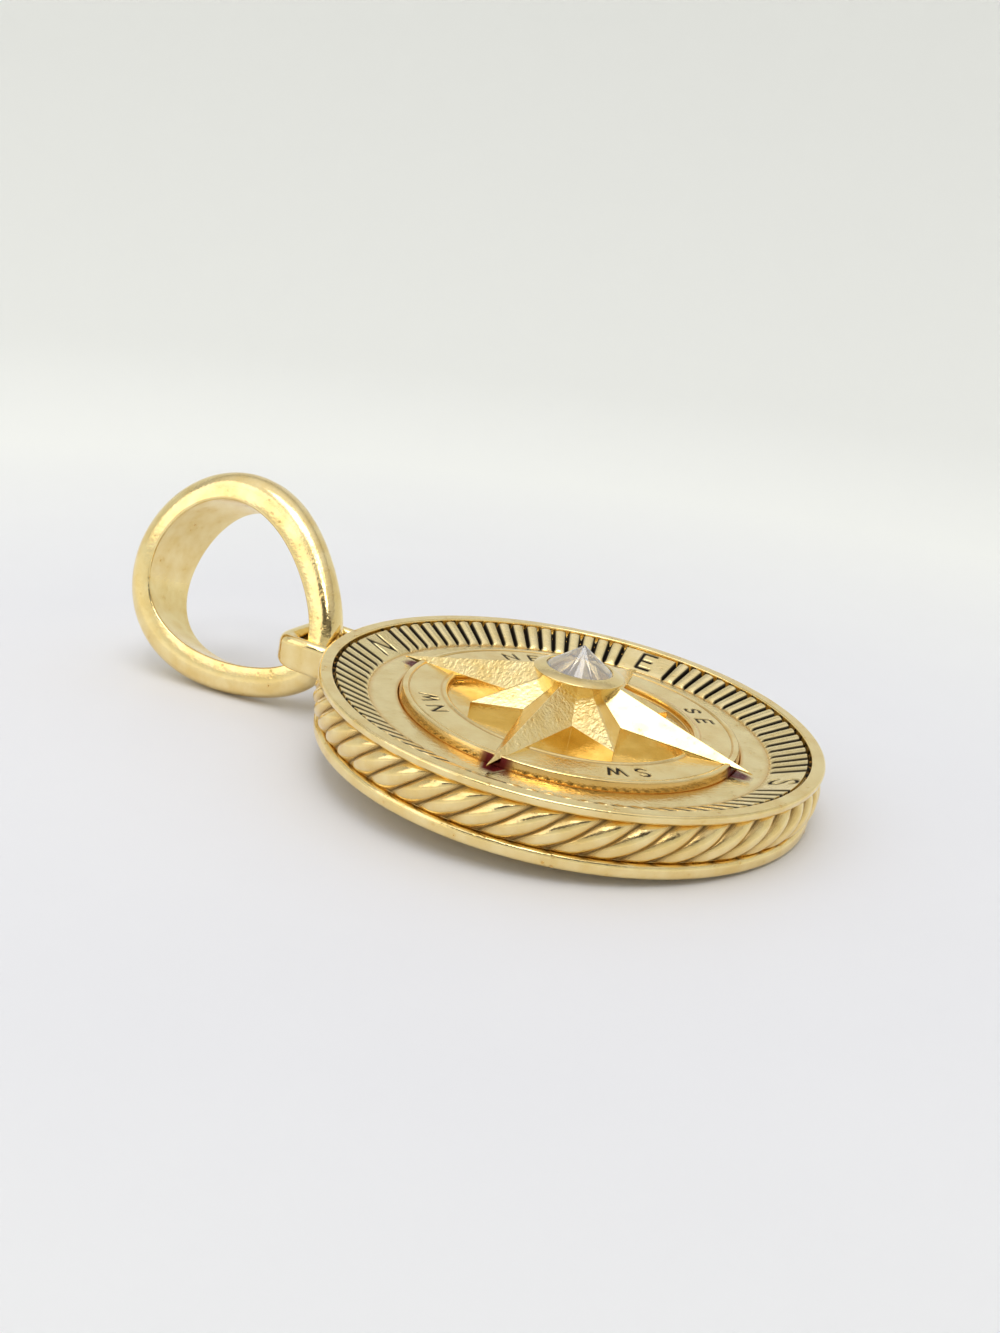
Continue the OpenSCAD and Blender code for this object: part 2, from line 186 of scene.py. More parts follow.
def link_piece(name: str, points: Points, faces: Faces,
               materials: list[bpy.types.Material]) -> bpy.types.Object:
    """Makes a mesh object at the origin, with its place in its mesh.

    Args:
        name: the piece's name.
        points: its corners in metres.
        faces: its faces by corner.
        materials: the finishes, by slot.

    Returns:
        The object, linked to the scene.
    """
    mesh = bpy.data.meshes.new(name)
    mesh.from_pydata(points.tolist(), [], faces)
    for material in materials:
        mesh.materials.append(material)
    obj = bpy.data.objects.new(name, mesh)
    bpy.context.scene.collection.objects.link(obj)
    return obj


@dataclass
class Sheet:
    """A grid surface: rows by columns of points, closed or ending in poles.

    Rows run one way and columns the other; a wrapped direction joins its last line to its
    first, and a pole draws a whole first or last column into one point.
    """

    name: str
    grid: Points
    wrap_rows: bool = True
    wrap_cols: bool = True
    poles: tuple[bool, bool] = (False, False)
    inside_out: bool = False
    masks: dict[str, Points] = field(default_factory=dict)

    def build(self, materials: list[bpy.types.Material], placed: bool = True) -> bpy.types.Object:
        """Makes the mesh object with its materials and masks.

        Args:
            materials: the finishes, by slot.
            placed: whether the grid is in the case's plane, and has to be leaned.

        Returns:
            The object, at the origin, with its place in its mesh.
        """
        rows, cols = self.grid.shape[:2]
        index = np.arange(rows * cols).reshape(rows, cols)
        keep = np.ones(rows * cols, bool)
        for is_pole, column in zip(self.poles, (0, cols - 1)):
            if is_pole:
                keep[index[1:, column]] = False
                index[:, column] = index[0, column]
        renumber = np.cumsum(keep) - 1
        index = renumber[index]
        points = self.grid.reshape(-1, 3)[keep]
        points = LIE.place(points) if placed else points
        r = np.arange(rows if self.wrap_rows else rows - 1)
        c = np.arange(cols if self.wrap_cols else cols - 1)
        i0, j0 = np.meshgrid(r, c, indexing="ij")
        i1, j1 = (i0 + 1) % rows, (j0 + 1) % cols
        quads = np.stack([index[i0, j0], index[i1, j0], index[i1, j1], index[i0, j1]], -1).reshape(-1, 4)
        if self.inside_out:
            quads = quads[:, ::-1]
        flat = quads == np.roll(quads, -1, axis=1)
        whole = ~flat.any(axis=1)
        faces = quads[whole].tolist()
        for quad, same in zip(quads[~whole], flat[~whole]):
            if same.sum() == 1:
                faces.append(quad[~same].tolist())
        obj = link_piece(self.name, points, faces, materials)
        mesh = obj.data
        mesh.polygons.foreach_set("use_smooth", np.full(len(mesh.polygons), True))
        for mask, values in self.masks.items():
            layer = mesh.attributes.new(mask, "FLOAT", "POINT")
            flat_values = np.broadcast_to(values, (rows, cols)).reshape(-1)[keep]
            layer.data.foreach_set("value", flat_values.astype(np.float32))
        return obj


def lathe(name: str, profile: Points, steps: int) -> Sheet:
    """Revolves a profile of (r, z) points about the case's axis.

    Args:
        name: the piece's name.
        profile: points of a line from axis to axis.
        steps: number of steps round.

    Returns:
        The sheet, rows round the axis and columns along the profile.
    """
    azimuth = np.linspace(0.0, 360.0, steps, endpoint=False)[:, None]
    grid = polar(profile[None, :, 0], azimuth, profile[None, :, 1])
    return Sheet(name, grid, wrap_cols=False, poles=(True, True), inside_out=True)


def crisp(profile: list[tuple[float, float]], edge: float) -> Points:
    """Puts a point close to each side of every corner, so that smooth shading keeps it crisp.

    Args:
        profile: the corners.
        edge: how far from a corner its two points lie, at most a third of the way to the next.

    Returns:
        The new profile, which keeps its two ends.
    """
    p = np.array(profile)
    out = [p[0]]
    for before, corner, after in zip(p[:-2], p[1:-1], p[2:]):
        for other in (before, after):
            span = np.hypot(*(other - corner))
            out.append(corner + (other - corner) * min(edge / span, 0.33))
    out.append(p[-1])
    return np.array(out)


class Nodes:
    """Short ways to add and join shader nodes in one tree."""

    def __init__(self, tree: bpy.types.NodeTree) -> None:
        """Keeps the tree that the nodes go into."""
        self.tree = tree

    def add(self, kind: str, **values: object) -> bpy.types.Node:
        """Adds a node.

        Args:
            kind: the node's type.
            values: what goes on the properties or input sockets of those names.

        Returns:
            The node.
        """
        node = self.tree.nodes.new(kind)
        for key, value in values.items():
            label = key.replace("_", " ").title()
            if label in node.inputs:
                self.feed(node.inputs[label], value)
            else:
                setattr(node, key, value)
        return node

    def feed(self, socket: bpy.types.NodeSocket, value: object) -> None:
        """Joins an output socket to an input, or sets the input's own value.

        Args:
            socket: the input.
            value: an output socket or a plain value.
        """
        if isinstance(value, bpy.types.NodeSocket):
            self.tree.links.new(value, socket)
        else:
            socket.default_value = value

    def math(self, operation: str, *terms: object, clamp: bool = False) -> bpy.types.NodeSocket:
        """Adds a Math node.

        Args:
            operation: what it works out.
            terms: its inputs, as sockets or numbers.
            clamp: whether the result is held between 0 and 1.

        Returns:
            The result's socket.
        """
        node = self.tree.nodes.new("ShaderNodeMath")
        node.operation = operation
        node.use_clamp = clamp
        for socket, term in zip(node.inputs, terms):
            self.feed(socket, term)
        return node.outputs[0]

    def blend(self, factor: object, low: object, high: object) -> bpy.types.NodeSocket:
        """Mixes two colours.

        Args:
            factor: how far from low to high.
            low: the colour at 0, as a socket or four numbers.
            high: the colour at 1.

        Returns:
            The mixed colour's socket.
        """
        node = self.tree.nodes.new("ShaderNodeMix")
        node.data_type = "RGBA"
        colour_low, colour_high, colour_out = node.inputs[6], node.inputs[7], node.outputs[2]
        self.feed(node.inputs["Factor"], factor)
        self.feed(colour_low, low)
        self.feed(colour_high, high)
        return colour_out

    def remap(self, value: object, low: float, high: float,
              to_low: float = 0.0, to_high: float = 1.0) -> bpy.types.NodeSocket:
        """Maps a value from one range to another, held at its ends.

        Args:
            value: the socket to map.
            low: where the first range starts.
            high: where it ends.
            to_low: what low becomes.
            to_high: what high becomes.

        Returns:
            The mapped value's socket.
        """
        node = self.tree.nodes.new("ShaderNodeMapRange")
        for socket, term in zip(node.inputs, (value, low, high, to_low, to_high)):
            self.feed(socket, term)
        return node.outputs[0]

    def surface(self, shader: bpy.types.Node) -> None:
        """Adds the material's output and joins the shader to it."""
        out = self.add("ShaderNodeOutputMaterial")
        self.feed(out.inputs["Surface"], shader.outputs["BSDF"])


def blank_material(name: str) -> tuple[bpy.types.Material, Nodes]:
    """Makes a material with an empty node tree.

    Args:
        name: the material's name.

    Returns:
        The material and its nodes.
    """
    material = bpy.data.materials.new(name)
    material.use_nodes = True
    material.node_tree.nodes.clear()
    return material, Nodes(material.node_tree)


def metal_skin_group() -> bpy.types.NodeTree:
    """Builds the node group for a cast and hand-polished skin.

    Broad ripples, fine grain and sparse pits make one height in metres; the same noises make
    a roughness and a tint mask. Inputs are the place, the depths of the three and the
    roughness with its spread.

    Returns:
        The group.
    """
    ripple_height = 0.04 * MM
    grain_height = 0.006 * MM
    pit_depth = 0.02 * MM
    pit_rough = 0.2
    group = bpy.data.node_groups.new("metal_skin", "ShaderNodeTree")
    sockets = [("Vector", "NodeSocketVector", 0.0), ("Ripple", "NodeSocketFloat", 1.0),
               ("Grain", "NodeSocketFloat", 1.0), ("Pits", "NodeSocketFloat", 1.0),
               ("Rough", "NodeSocketFloat", 0.2), ("Spread", "NodeSocketFloat", 0.1)]
    for name, kind, value in sockets:
        made = group.interface.new_socket(name, in_out="INPUT", socket_type=kind)
        if kind == "NodeSocketFloat":
            made.default_value = value
    for name in ("Height", "Roughness", "Tint", "Specks"):
        group.interface.new_socket(name, in_out="OUTPUT", socket_type="NodeSocketFloat")
    n = Nodes(group)
    inside = n.add("NodeGroupInput").outputs
    ripple = n.add("ShaderNodeTexNoise", vector=inside["Vector"], scale=420.0, detail=2.0)
    grain = n.add("ShaderNodeTexNoise", vector=inside["Vector"], scale=5200.0, detail=3.0)
    cloud = n.add("ShaderNodeTexNoise", vector=inside["Vector"], scale=900.0, detail=4.0)
    pits = n.add("ShaderNodeTexVoronoi", vector=inside["Vector"], scale=2600.0)
    sparse = n.remap(cloud.outputs["Fac"], 0.52, 0.66)
    shaded_hollow = n.remap(pits.outputs["Distance"], 0.0, 0.3, 1.0, 0.0)
    pit_mask = n.math("MULTIPLY", n.math("MULTIPLY", shaded_hollow, sparse), inside["Pits"])
    ripples = n.math("MULTIPLY", ripple.outputs["Fac"], n.math("MULTIPLY", inside["Ripple"], ripple_height))
    grains = n.math("MULTIPLY", grain.outputs["Fac"], n.math("MULTIPLY", inside["Grain"], grain_height))
    height = n.math("SUBTRACT", n.math("ADD", ripples, grains), n.math("MULTIPLY", pit_mask, pit_depth))
    swing = n.math("MULTIPLY", n.math("SUBTRACT", cloud.outputs["Fac"], 0.5), inside["Spread"])
    even = n.math("ADD", inside["Rough"], swing)
    rough = n.math("ADD", even, n.math("MULTIPLY", pit_mask, pit_rough), clamp=True)
    out = n.add("NodeGroupOutput")
    n.feed(out.inputs["Height"], height)
    n.feed(out.inputs["Roughness"], rough)
    n.feed(out.inputs["Tint"], n.remap(cloud.outputs["Fac"], 0.35, 0.65))
    n.feed(out.inputs["Specks"], pit_mask)
    return group


@dataclass(frozen=True)
class Skin:
    """A skin's roughness, how much it varies, and the depth of its grain."""

    rough: float
    spread: float
    grain: float


SKINS = {
    Texture.POLISHED: Skin(rough=0.15, spread=0.2, grain=1.7),
    Texture.CAST: Skin(rough=0.2, spread=0.25, grain=2.8),
    Texture.SATIN: Skin(rough=0.34, spread=0.3, grain=17.0),
}


@dataclass(frozen=True)
class Gold:
    """Yellow gold: two tints and a skin, with black in grooves and letters (blackening, with painted
    shade in the grooves), painted warm shade in hollows and rouge with painted shadow, by mask.

    speck_tint is how far a pit turns to the warm tint, rouge_shadow_dull how far the rouge and
    painted shadow hide the metal, and blackened_and_shade_rough how much rougher the black parts
    are. whole_rouge_shadow covers the whole piece with rouge and painted shadow.
    """

    name: str
    texture: Texture
    light: Colour = (0.95, 0.77, 0.39)
    deep: Colour = (0.87, 0.65, 0.27)
    # warm: painted warm shade in hollows; it also tints the pits
    warm: Colour = (0.72, 0.41, 0.1)
    # black: blackened letters and grooves, with painted shade in the grooves
    black: Colour = (0.012, 0.008, 0.005)
    # rouge: dark reddish polishing rouge with painted shadow, where the star's arms overhang
    rouge_shadow: Colour = (0.12, 0.012, 0.01)
    ripple: float = 0.35
    pits: float = 0.5
    whole_rouge_shadow: float = 0.0
    speck_tint: float = 0.75
    rouge_shadow_dull: float = 0.85
    blackened_and_shade_rough: float = 0.35
    specular: float = 0.1

    def make(self, group: bpy.types.NodeTree) -> bpy.types.Material:
        """Builds the material.

        Args:
            group: the skin group that all the golds share.

        Returns:
            The material.
        """
        kind = SKINS[self.texture]
        material, n = blank_material(self.name)
        place = n.add("ShaderNodeTexCoord").outputs["Object"]
        skin = n.tree.nodes.new("ShaderNodeGroup")
        skin.node_tree = group
        for name, value in (("Vector", place), ("Ripple", self.ripple), ("Grain", kind.grain),
                            ("Pits", self.pits), ("Rough", kind.rough), ("Spread", kind.spread)):
            n.feed(skin.inputs[name], value)
        blackened_and_shade, shaded_hollow, rouge_shadow_mask = (n.add("ShaderNodeAttribute", attribute_name=mask).outputs["Fac"]
                                    for mask in ("blackened_and_shade", "shaded_hollow", "rouge_shadow"))
        tinted = n.blend(skin.outputs["Tint"], (*self.light, 1.0), (*self.deep, 1.0))
        specks = n.math("MULTIPLY", skin.outputs["Specks"], self.speck_tint)
        # Painted warm shade in hollows, and the tint of the pits
        shade_warmed = n.blend(n.math("MAXIMUM", shaded_hollow, specks), tinted, (*self.warm, 1.0))
        # Rouge with painted shadow, by mask or over the whole piece
        rouge_shadow_share = n.math("MAXIMUM", rouge_shadow_mask, self.whole_rouge_shadow)
        rouge_shadow_tinted = n.blend(rouge_shadow_share, shade_warmed, (*self.rouge_shadow, 1.0))
        # Black in grooves and letters: blackening, with painted shade in the grooves
        colour = n.blend(blackened_and_shade, rouge_shadow_tinted, (*self.black, 1.0))
        shader = n.add("ShaderNodeBsdfPrincipled", base_color=colour)
        shader.inputs["Specular IOR Level"].default_value = self.specular
        # Where blackened, shaded or rouged with painted shadow, the metal is dimmed
        dull = n.math("MAXIMUM", blackened_and_shade, n.math("MULTIPLY", rouge_shadow_share, self.rouge_shadow_dull))
        n.feed(shader.inputs["Metallic"], n.math("SUBTRACT", 1.0, dull))
        rougher = n.math("MULTIPLY", blackened_and_shade, self.blackened_and_shade_rough)
        n.feed(shader.inputs["Roughness"], n.math("ADD", skin.outputs["Roughness"], rougher))
        bump = n.add("ShaderNodeBump", height=skin.outputs["Height"])
        bump.inputs["Strength"].default_value = 1.0
        bump.inputs["Distance"].default_value = 1.0
        n.feed(shader.inputs["Normal"], bump.outputs["Normal"])
        n.surface(shader)
        return material


@dataclass(frozen=True)
class ClearStone:
    """A clear cut stone that shades from a warm white to a cool one."""

    name: str = "clear_stone"
    warm_white: Colour = (1.0, 0.975, 0.965)
    cool_white: Colour = (0.96, 0.97, 1.0)
    ior: float = 2.1
    clarity: float = 0.8

    def make(self) -> bpy.types.Material:
        """Builds the material.

        Returns:
            The material.
        """
        material, n = blank_material(self.name)
        place = n.add("ShaderNodeTexCoord").outputs["Object"]
        cloud = n.add("ShaderNodeTexNoise", vector=place, scale=900.0, detail=1.0)
        colour = n.blend(cloud.outputs["Fac"], (*self.warm_white, 1.0), (*self.cool_white, 1.0))
        shader = n.add("ShaderNodeBsdfPrincipled", base_color=colour)
        shader.inputs["Roughness"].default_value = 0.0
        shader.inputs["IOR"].default_value = self.ior
        shader.inputs["Transmission Weight"].default_value = self.clarity
        n.surface(shader)
        return material


def finish_piece(obj: bpy.types.Object, body: Body, slot: str, *nodes: str) -> None:
    """Rides a piece on its body, hides the solids that it stands for, and logs it.

    Args:
        obj: the piece.
        body: the body that it rides on.
        slot: the record's slot that its finish comes from; it is not used.
        nodes: the solids that it stands for.
    """
    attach(obj, body.value)
    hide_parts(*nodes)
    LOG.info("%s: %d faces", obj.name, len(obj.data.polygons))


@dataclass
class Case:
    """The case: back, wall, flange and rim in one turned shell, and the loop soldered to it."""

    radius: float = 12.5
    thickness: float = 3.1
    rim_in: float = 11.78
    flange_r: float = 12.3
    flange_h: float = 0.72
    channel_r: float = 11.95
    rim_h: float = 0.5
    seat_z: float = 1.62
    steps: int = 720
    loop_half: float = 1.84
    bar_y: float = 15.7
    bar_z: float = 1.33
    leg: tuple[float, float] = (0.76, 1.8)
    bar: tuple[float, float] = (0.96, 1.7)
    bend: float = 0.9
    roundness: float = 0.49
    # Strength of the painted warm shade in the channel under the rope
    channel_warm_shade: float = 0.7

    def profile(self) -> Points:
        """The shell's section, its edges rounded by arcs.

        Returns:
            (r, z) from the middle of the back, round the edge, to the middle inside.
        """
        top = self.thickness
        under = top - self.rim_h
        lip = self.radius - 0.05
        parts = [
            [[0.0, 0.0], [11.0, 0.0], [11.9, 0.0]],
            arc((self.flange_r - 0.28, 0.28), 0.28, -90, 0, 8),
            arc((self.flange_r - 0.26, self.flange_h - 0.26), 0.26, 0, 90, 8),
            [[self.channel_r + 0.03, self.flange_h], [self.channel_r, self.flange_h + 0.03]],
            [[self.channel_r, under - 0.03], [self.channel_r + 0.03, under]],
            arc((lip - 0.32, under + 0.3), 0.3, -90, -8, 8),
            arc((lip - 0.13, top - 0.13), 0.13, 0, 90, 6),
            [[lip - 0.18, top], [self.rim_in + 0.12, top]],
            arc((self.rim_in + 0.08, top - 0.08), 0.08, 90, 180, 5),
            [[self.rim_in, top - 0.15], [self.rim_in, 2.56], [self.rim_in - 0.02, 2.54]],
            [[11.3, 2.54], [11.28, 2.52], [11.28, self.seat_z + 0.02], [11.26, self.seat_z]],
            [[6.0, self.seat_z], [0.0, self.seat_z]],
        ]
        return np.concatenate([np.array(p, float) for p in parts])

    def loop_sheet(self) -> Sheet:
        """The loop: a rounded rectangle carried along two legs, two bends and a bar.

        Its thickness and height go from the leg's to the bar's with the sine of the bend, and
        the corners are rounded by a share of the thickness.

        Returns:
            The sheet, rows round the section and columns along the loop.
        """
        turn = np.concatenate([[180.0], np.linspace(180, 90, 13), np.linspace(90, 0, 13), [0.0]])
        middle = self.loop_half - self.bend
        side = np.where(np.arange(len(turn)) < len(turn) // 2, -1.0, 1.0)
        a = np.radians(turn)
        end_y = self.bar_y - self.bend
        x = side * middle + self.bend * np.cos(a)
        y = end_y + self.bend * np.sin(a)
        y[[0, -1]] = self.channel_r - 0.5
        share = np.sin(a)
        width = self.leg[0] + (self.bar[0] - self.leg[0]) * share
        height = self.leg[1] + (self.bar[1] - self.leg[1]) * share
        corner = self.roundness * width
        quarter = np.radians(np.linspace(0, 90, 9))
        angle = np.concatenate([quarter + k * math.pi / 2 for k in range(4)])
        sign_u, sign_v = np.sign(np.cos(angle + 1e-6)), np.sign(np.sin(angle + 1e-6))
        sign_u[8], sign_v[8] = 1.0, 1.0
        sign_u[9:18], sign_u[18:27], sign_u[27:] = -1.0, -1.0, 1.0
        sign_v[:18], sign_v[18:] = 1.0, -1.0
        u = sign_u * (width[:, None] / 2 - corner[:, None]) + corner[:, None] * np.cos(angle)
        v = sign_v * (height[:, None] / 2 - corner[:, None]) + corner[:, None] * np.sin(angle)
        grid = np.stack([x[:, None] + u * np.cos(a)[:, None], y[:, None] + u * np.sin(a)[:, None],
                         self.bar_z + v], -1)
        ends = grid.mean(1, keepdims=True)[[0, -1]] + np.zeros_like(grid[[0, -1]])
        grid = np.concatenate([ends[:1], grid, ends[1:]])
        return Sheet("hanging_loop", grid.transpose(1, 0, 2), wrap_cols=False, poles=(True, True))

    def dress(self, gold: bpy.types.Material) -> None:
        """Builds the shell and the loop.

        Args:
            gold: the finish of both.
        """
        profile = self.profile()
        shell = lathe("case_shell", profile, self.steps)
        # Painted warm shade in the channel under the rope
        deep = np.abs(profile[:, 0] - self.channel_r) < 0.02
        shell.masks["shaded_hollow"] = self.channel_warm_shade * deep.astype(float)[None, :]
        finish_piece(shell.build([gold]), Body.PENDANT, "case_gold", "case")
        finish_piece(self.loop_sheet().build([gold]), Body.PENDANT, "case_gold", "case")


@dataclass
class RopeEdge:
    """The rope in the channel: plump strands that slant across the band."""

    strands: int = 50
    slant: float = 1.45
    low: float = 0.77
    high: float = 2.55
    floor_r: float = 11.97
    crest_r: float = 12.5
    groove: float = 0.34
    # Strengths of the painted warm shade and the painted dark shade between the strands
    gap_warm_shade: float = 0.8
    gap_dark_shade: float = 0.8
    steps: int = 36
    rows: int = 30

    def sheet(self) -> Sheet:
        """The rope's surface.

        Its radius is the floor plus a swelling that is a power of the sine across the band,
        less a groove between strands that is a power of the sine along them. The power grows
        towards both edges of the band, so each strand is plump in the middle and pointed at its
        ends. The strands slip sideways with height, which slants them.

        Returns:
            The sheet, rows round the case and columns up the face and down the back.
        """
        turn = np.arange(self.strands * self.steps)[:, None] / self.steps
        t = np.linspace(0.0, 1.0, self.rows)[None, :]
        v = 0.5 - 0.5 * np.cos(math.pi * t)
        bulge = np.sin(math.pi * v) ** 0.5
        crest = np.abs(np.sin(math.pi * turn)) ** (0.5 + 1.1 * np.abs(2.0 * v - 1.0) ** 2.5)
        band = self.high - self.low
        depth = self.crest_r - self.floor_r
        r = self.floor_r + 0.01 + (depth - 0.01) * bulge * (1.0 - self.groove / depth * (1.0 - crest))
        azimuth = (turn - self.slant * (v - 0.5)) * 360.0 / self.strands
        face = polar(r, azimuth, self.low + band * v)
        back_v = np.array([[1.0, 0.66, 0.33, 0.0]])
        back_turn = (turn - self.slant * (back_v - 0.5)) * 360.0 / self.strands
        back = polar(self.floor_r, back_turn, self.low + band * back_v)
        blank = np.zeros((len(turn), back_v.size))
        # Painted warm shade between the strands and at the band's edges
        shaded_hollow = np.clip(self.gap_warm_shade * (1.0 - crest) + 0.35 * (1.0 - bulge) ** 2, 0.0, 1.0)
        # Painted dark shade between the strands
        blackened_and_shade = self.gap_dark_shade * (1.0 - crest) ** 2.5
        return Sheet("rope_edge", np.concatenate([face, back], 1), inside_out=True,
                     masks={"shaded_hollow": np.concatenate([shaded_hollow, blank], 1),
                            "blackened_and_shade": np.concatenate([blackened_and_shade, blank], 1)})

    def dress(self, gold: bpy.types.Material) -> None:
        """Builds the rope."""
        finish_piece(self.sheet().build([gold]), Body.PENDANT, "rope_gold", "rope_band")


@dataclass(frozen=True)
class Letter:
    """A plain engraved letter as straight strokes on a box one unit high."""

    width: float
    strokes: tuple[tuple[float, float, float, float], ...]

    def placed(self, height: float) -> Strokes:
        """The strokes scaled to a height and centred on the origin.

        Args:
            height: the letter's height.

        Returns:
            Both ends of each stroke.
        """
        half = self.width / 2
        return [((a - half) * height, (b - 0.5) * height, (c - half) * height, (d - 0.5) * height)
                for a, b, c, d in self.strokes]

    def cut(self, u: Points, v: Points, height: float, stroke: tuple[float, float]) -> Points:
        """How deep the letter is cut at each point.

        Args:
            u: the points' places across the letter.
            v: their places up it.
            height: the letter's height.
            stroke: the distances from a stroke's middle where its floor and its side end.

        Returns:
            1 on the strokes' floors, falling to 0 outside.
        """
        return 1.0 - smooth_step(distance_to_strokes(u, v, self.placed(height)), *stroke)


LETTERS = {
    "N": Letter(0.8, ((0, 0, 0, 1), (0, 1, 0.8, 0), (0.8, 0, 0.8, 1))),
    "E": Letter(0.62, ((0, 0, 0, 1), (0, 1, 0.62, 1), (0, 0.5, 0.52, 0.5), (0, 0, 0.62, 0))),
    "W": Letter(1.1, ((0, 1, 0.28, 0), (0.28, 0, 0.55, 0.85), (0.55, 0.85, 0.82, 0), (0.82, 0, 1.1, 1))),
    "S": Letter(0.64, ((0.62, 0.84, 0.5, 0.96), (0.5, 0.96, 0.3, 1.0), (0.3, 1.0, 0.1, 0.92),
                       (0.1, 0.92, 0.04, 0.74), (0.04, 0.74, 0.14, 0.6), (0.14, 0.6, 0.46, 0.44),
                       (0.46, 0.44, 0.62, 0.28), (0.62, 0.28, 0.56, 0.08), (0.56, 0.08, 0.34, 0.0),
                       (0.34, 0.0, 0.12, 0.04), (0.12, 0.04, 0.0, 0.18))),
}


@dataclass
class DialRing:
    """The dial's outer ring: a smooth annulus, then ribs in four quarters between panels."""

    top: float = 3.1
    inner: float = 8.51
    rib_in: float = 9.9
    rib_out: float = 11.62
    outer: float = 11.76
    annulus_drop: float = 0.86
    drop_in: float = 0.8
    drop_out: float = 0.12
    ribs: int = 18
    half_panel: float = 8.0
    groove_half: float = 0.15
    groove_depth: float = 0.3
    rib_crown: float = 0.05
    nose: float = 0.3
    letter_height: float = 1.2
    letter_stroke: tuple[float, float] = (0.075, 0.12)
    letter_depth: float = 0.08
    letter_shift: float = 0.12
    edge_depth: float = 0.42
    hollow_r: float = 9.4

    def grooves(self) -> Points:
        """Azimuths of the grooves, from one panel's edge to the next in each quarter."""
        one = self.half_panel + np.arange(self.ribs + 1) * (90.0 - 2 * self.half_panel) / self.ribs
        return np.concatenate([one + 90.0 * k for k in range(4)])

    def azimuths(self) -> Points:
        """Azimuths of the grid: close together across each groove and in each panel.

        Returns:
            The azimuths in degrees, in order.
        """
        near = np.array([-1.1, -0.85, -0.6, -0.3, 0.0, 0.3, 0.6, 0.85, 1.1]) * 0.8
        across = (self.grooves()[:, None] + near).ravel()
        crowns = (self.grooves()[:, None] + np.array([1.25, 1.65, 2.05, 2.45, 2.85])).ravel()
        crowns = crowns[np.abs(off_quarter(crowns)) > self.half_panel]
        panels = (QUARTERS[:, None] + np.linspace(-6.8, 6.8, 66)).ravel()
        return np.unique(np.round(np.concatenate([across, crowns, panels]) % 360.0, 4))

    def surface(self, r: Points, azimuth: Points) -> tuple[Points, Points, Points]:
        """Height, black and painted warm shade of the ring's top at each point: the black is
        blackening in grooves and letters, with painted shade in the grooves and the rim's gap.

        The ground is the annulus, then a slope up to the rim, where each rib is crowned by a
        parabola and its inner end rounds down like a nose. Grooves are cut where the way across
        to the nearest groove is under the half width, as deep as a cosine. Letters are cut into
        the panels by the distance to their strokes, and the rim's side drops away steeply.

        Args:
            r: radii of the points.
            azimuth: their azimuths.

        Returns:
            The heights and the two masks.
        """
        floor = self.top - self.annulus_drop
        slope = (self.drop_in - self.drop_out) / (self.rib_out - self.rib_in)
        ground = self.top - self.drop_in + slope * (r - self.rib_in)
        in_panel = np.abs(off_quarter(azimuth)) < self.half_panel
        gap = np.abs(half_turn(azimuth[..., None] - self.grooves())).min(-1)
        way = np.radians(gap) * r
        groove = self.groove_half * (0.8 + 0.2 * (r - self.rib_in) / 1.7)
        half_rib = np.radians((45.0 - self.half_panel) / self.ribs) * r - groove
        crown = self.rib_crown * (1.0 - np.clip((way - groove - half_rib) / half_rib, -1.0, 1.0) ** 2)
        ground = ground + np.where(in_panel, 0.0, crown)
        in_nose = np.clip((r - self.rib_in) / self.nose, 0.0, 1.0)
        nose = np.sqrt(in_nose * (2.0 - in_nose))
        z = floor + (ground - floor) * nose
        across = way / groove
        run = smooth_step(r, self.rib_in - 0.02, self.rib_in + 0.22)
        channel = np.where(across < 1.0, 0.5 + 0.5 * np.cos(math.pi * np.clip(across, 0, 1)), 0.0) * run
        z = z - self.groove_depth * channel
        # The grooves and the rib sides beside them go black: blackening, with painted shade
        blackened_and_shade = (1.0 - smooth_step(way, groove * 0.8, groove + 0.06)) * run
        letters = np.zeros_like(z)
        middle = (self.rib_in + self.rib_out) / 2 + self.letter_shift
        for start, name in zip(QUARTERS, "NESW"):
            u = np.radians(half_turn(azimuth - start)) * r
            cut = LETTERS[name].cut(u, r - middle, self.letter_height, self.letter_stroke)
            letters = np.maximum(letters, cut)
        z = z - self.letter_depth * letters
        edge = smooth_step(r, self.rib_out - 0.03, self.rib_out + 0.015)
        z = z - self.edge_depth * edge
        blackened_and_shade = np.maximum(blackened_and_shade, letters)
        # The rim's gap goes black as painted shade, less in the panels
        blackened_and_shade = np.maximum(blackened_and_shade, smooth_step(edge, 0.3, 0.9) * np.where(in_panel, 0.6, 1.0))
        # Painted warm shade at the ribs' inner ends and at the annulus's inner edge
        warm = 0.7 * np.exp(-((r - self.rib_in) / 0.06) ** 2) + smooth_step(r, self.inner + 0.12, self.inner)
        return z, blackened_and_shade, np.clip(warm, 0.0, 1.0)

    def sheet(self) -> Sheet:
        """The ring as a closed band: its worked top, outer wall, underside and inner wall.

        Rouge with painted shadow lies on the annulus under each long point of the star, where the point
        overhangs it, in a patch that widens inwards.

        Returns:
            The sheet, rows round the axis and columns round the section.
        """
        radii = np.concatenate([
            [self.inner, self.inner + 0.04], np.linspace(8.7, 9.86, 7), [9.9, 9.92, 9.95, 9.99, 10.05, 10.12],
            np.linspace(10.2, 11.56, 28),
            [11.585, 11.6, 11.615, 11.63, 11.645, 11.7, self.outer]])
        azimuth = self.azimuths()[:, None]
        r = np.broadcast_to(radii[None, :], (len(azimuth), len(radii)))
        z, blackened_and_shade, warm = self.surface(r, np.broadcast_to(azimuth, r.shape))
        top = polar(r, azimuth, z)
        under = np.array([[self.outer, 2.58], [11.26, 2.56], [11.25, 1.66], [self.inner + 0.01, 1.65],
                          [self.inner, 1.7]])
        base = polar(under[None, :, 0], azimuth, under[None, :, 1])
        blank = np.zeros((len(azimuth), len(under)))
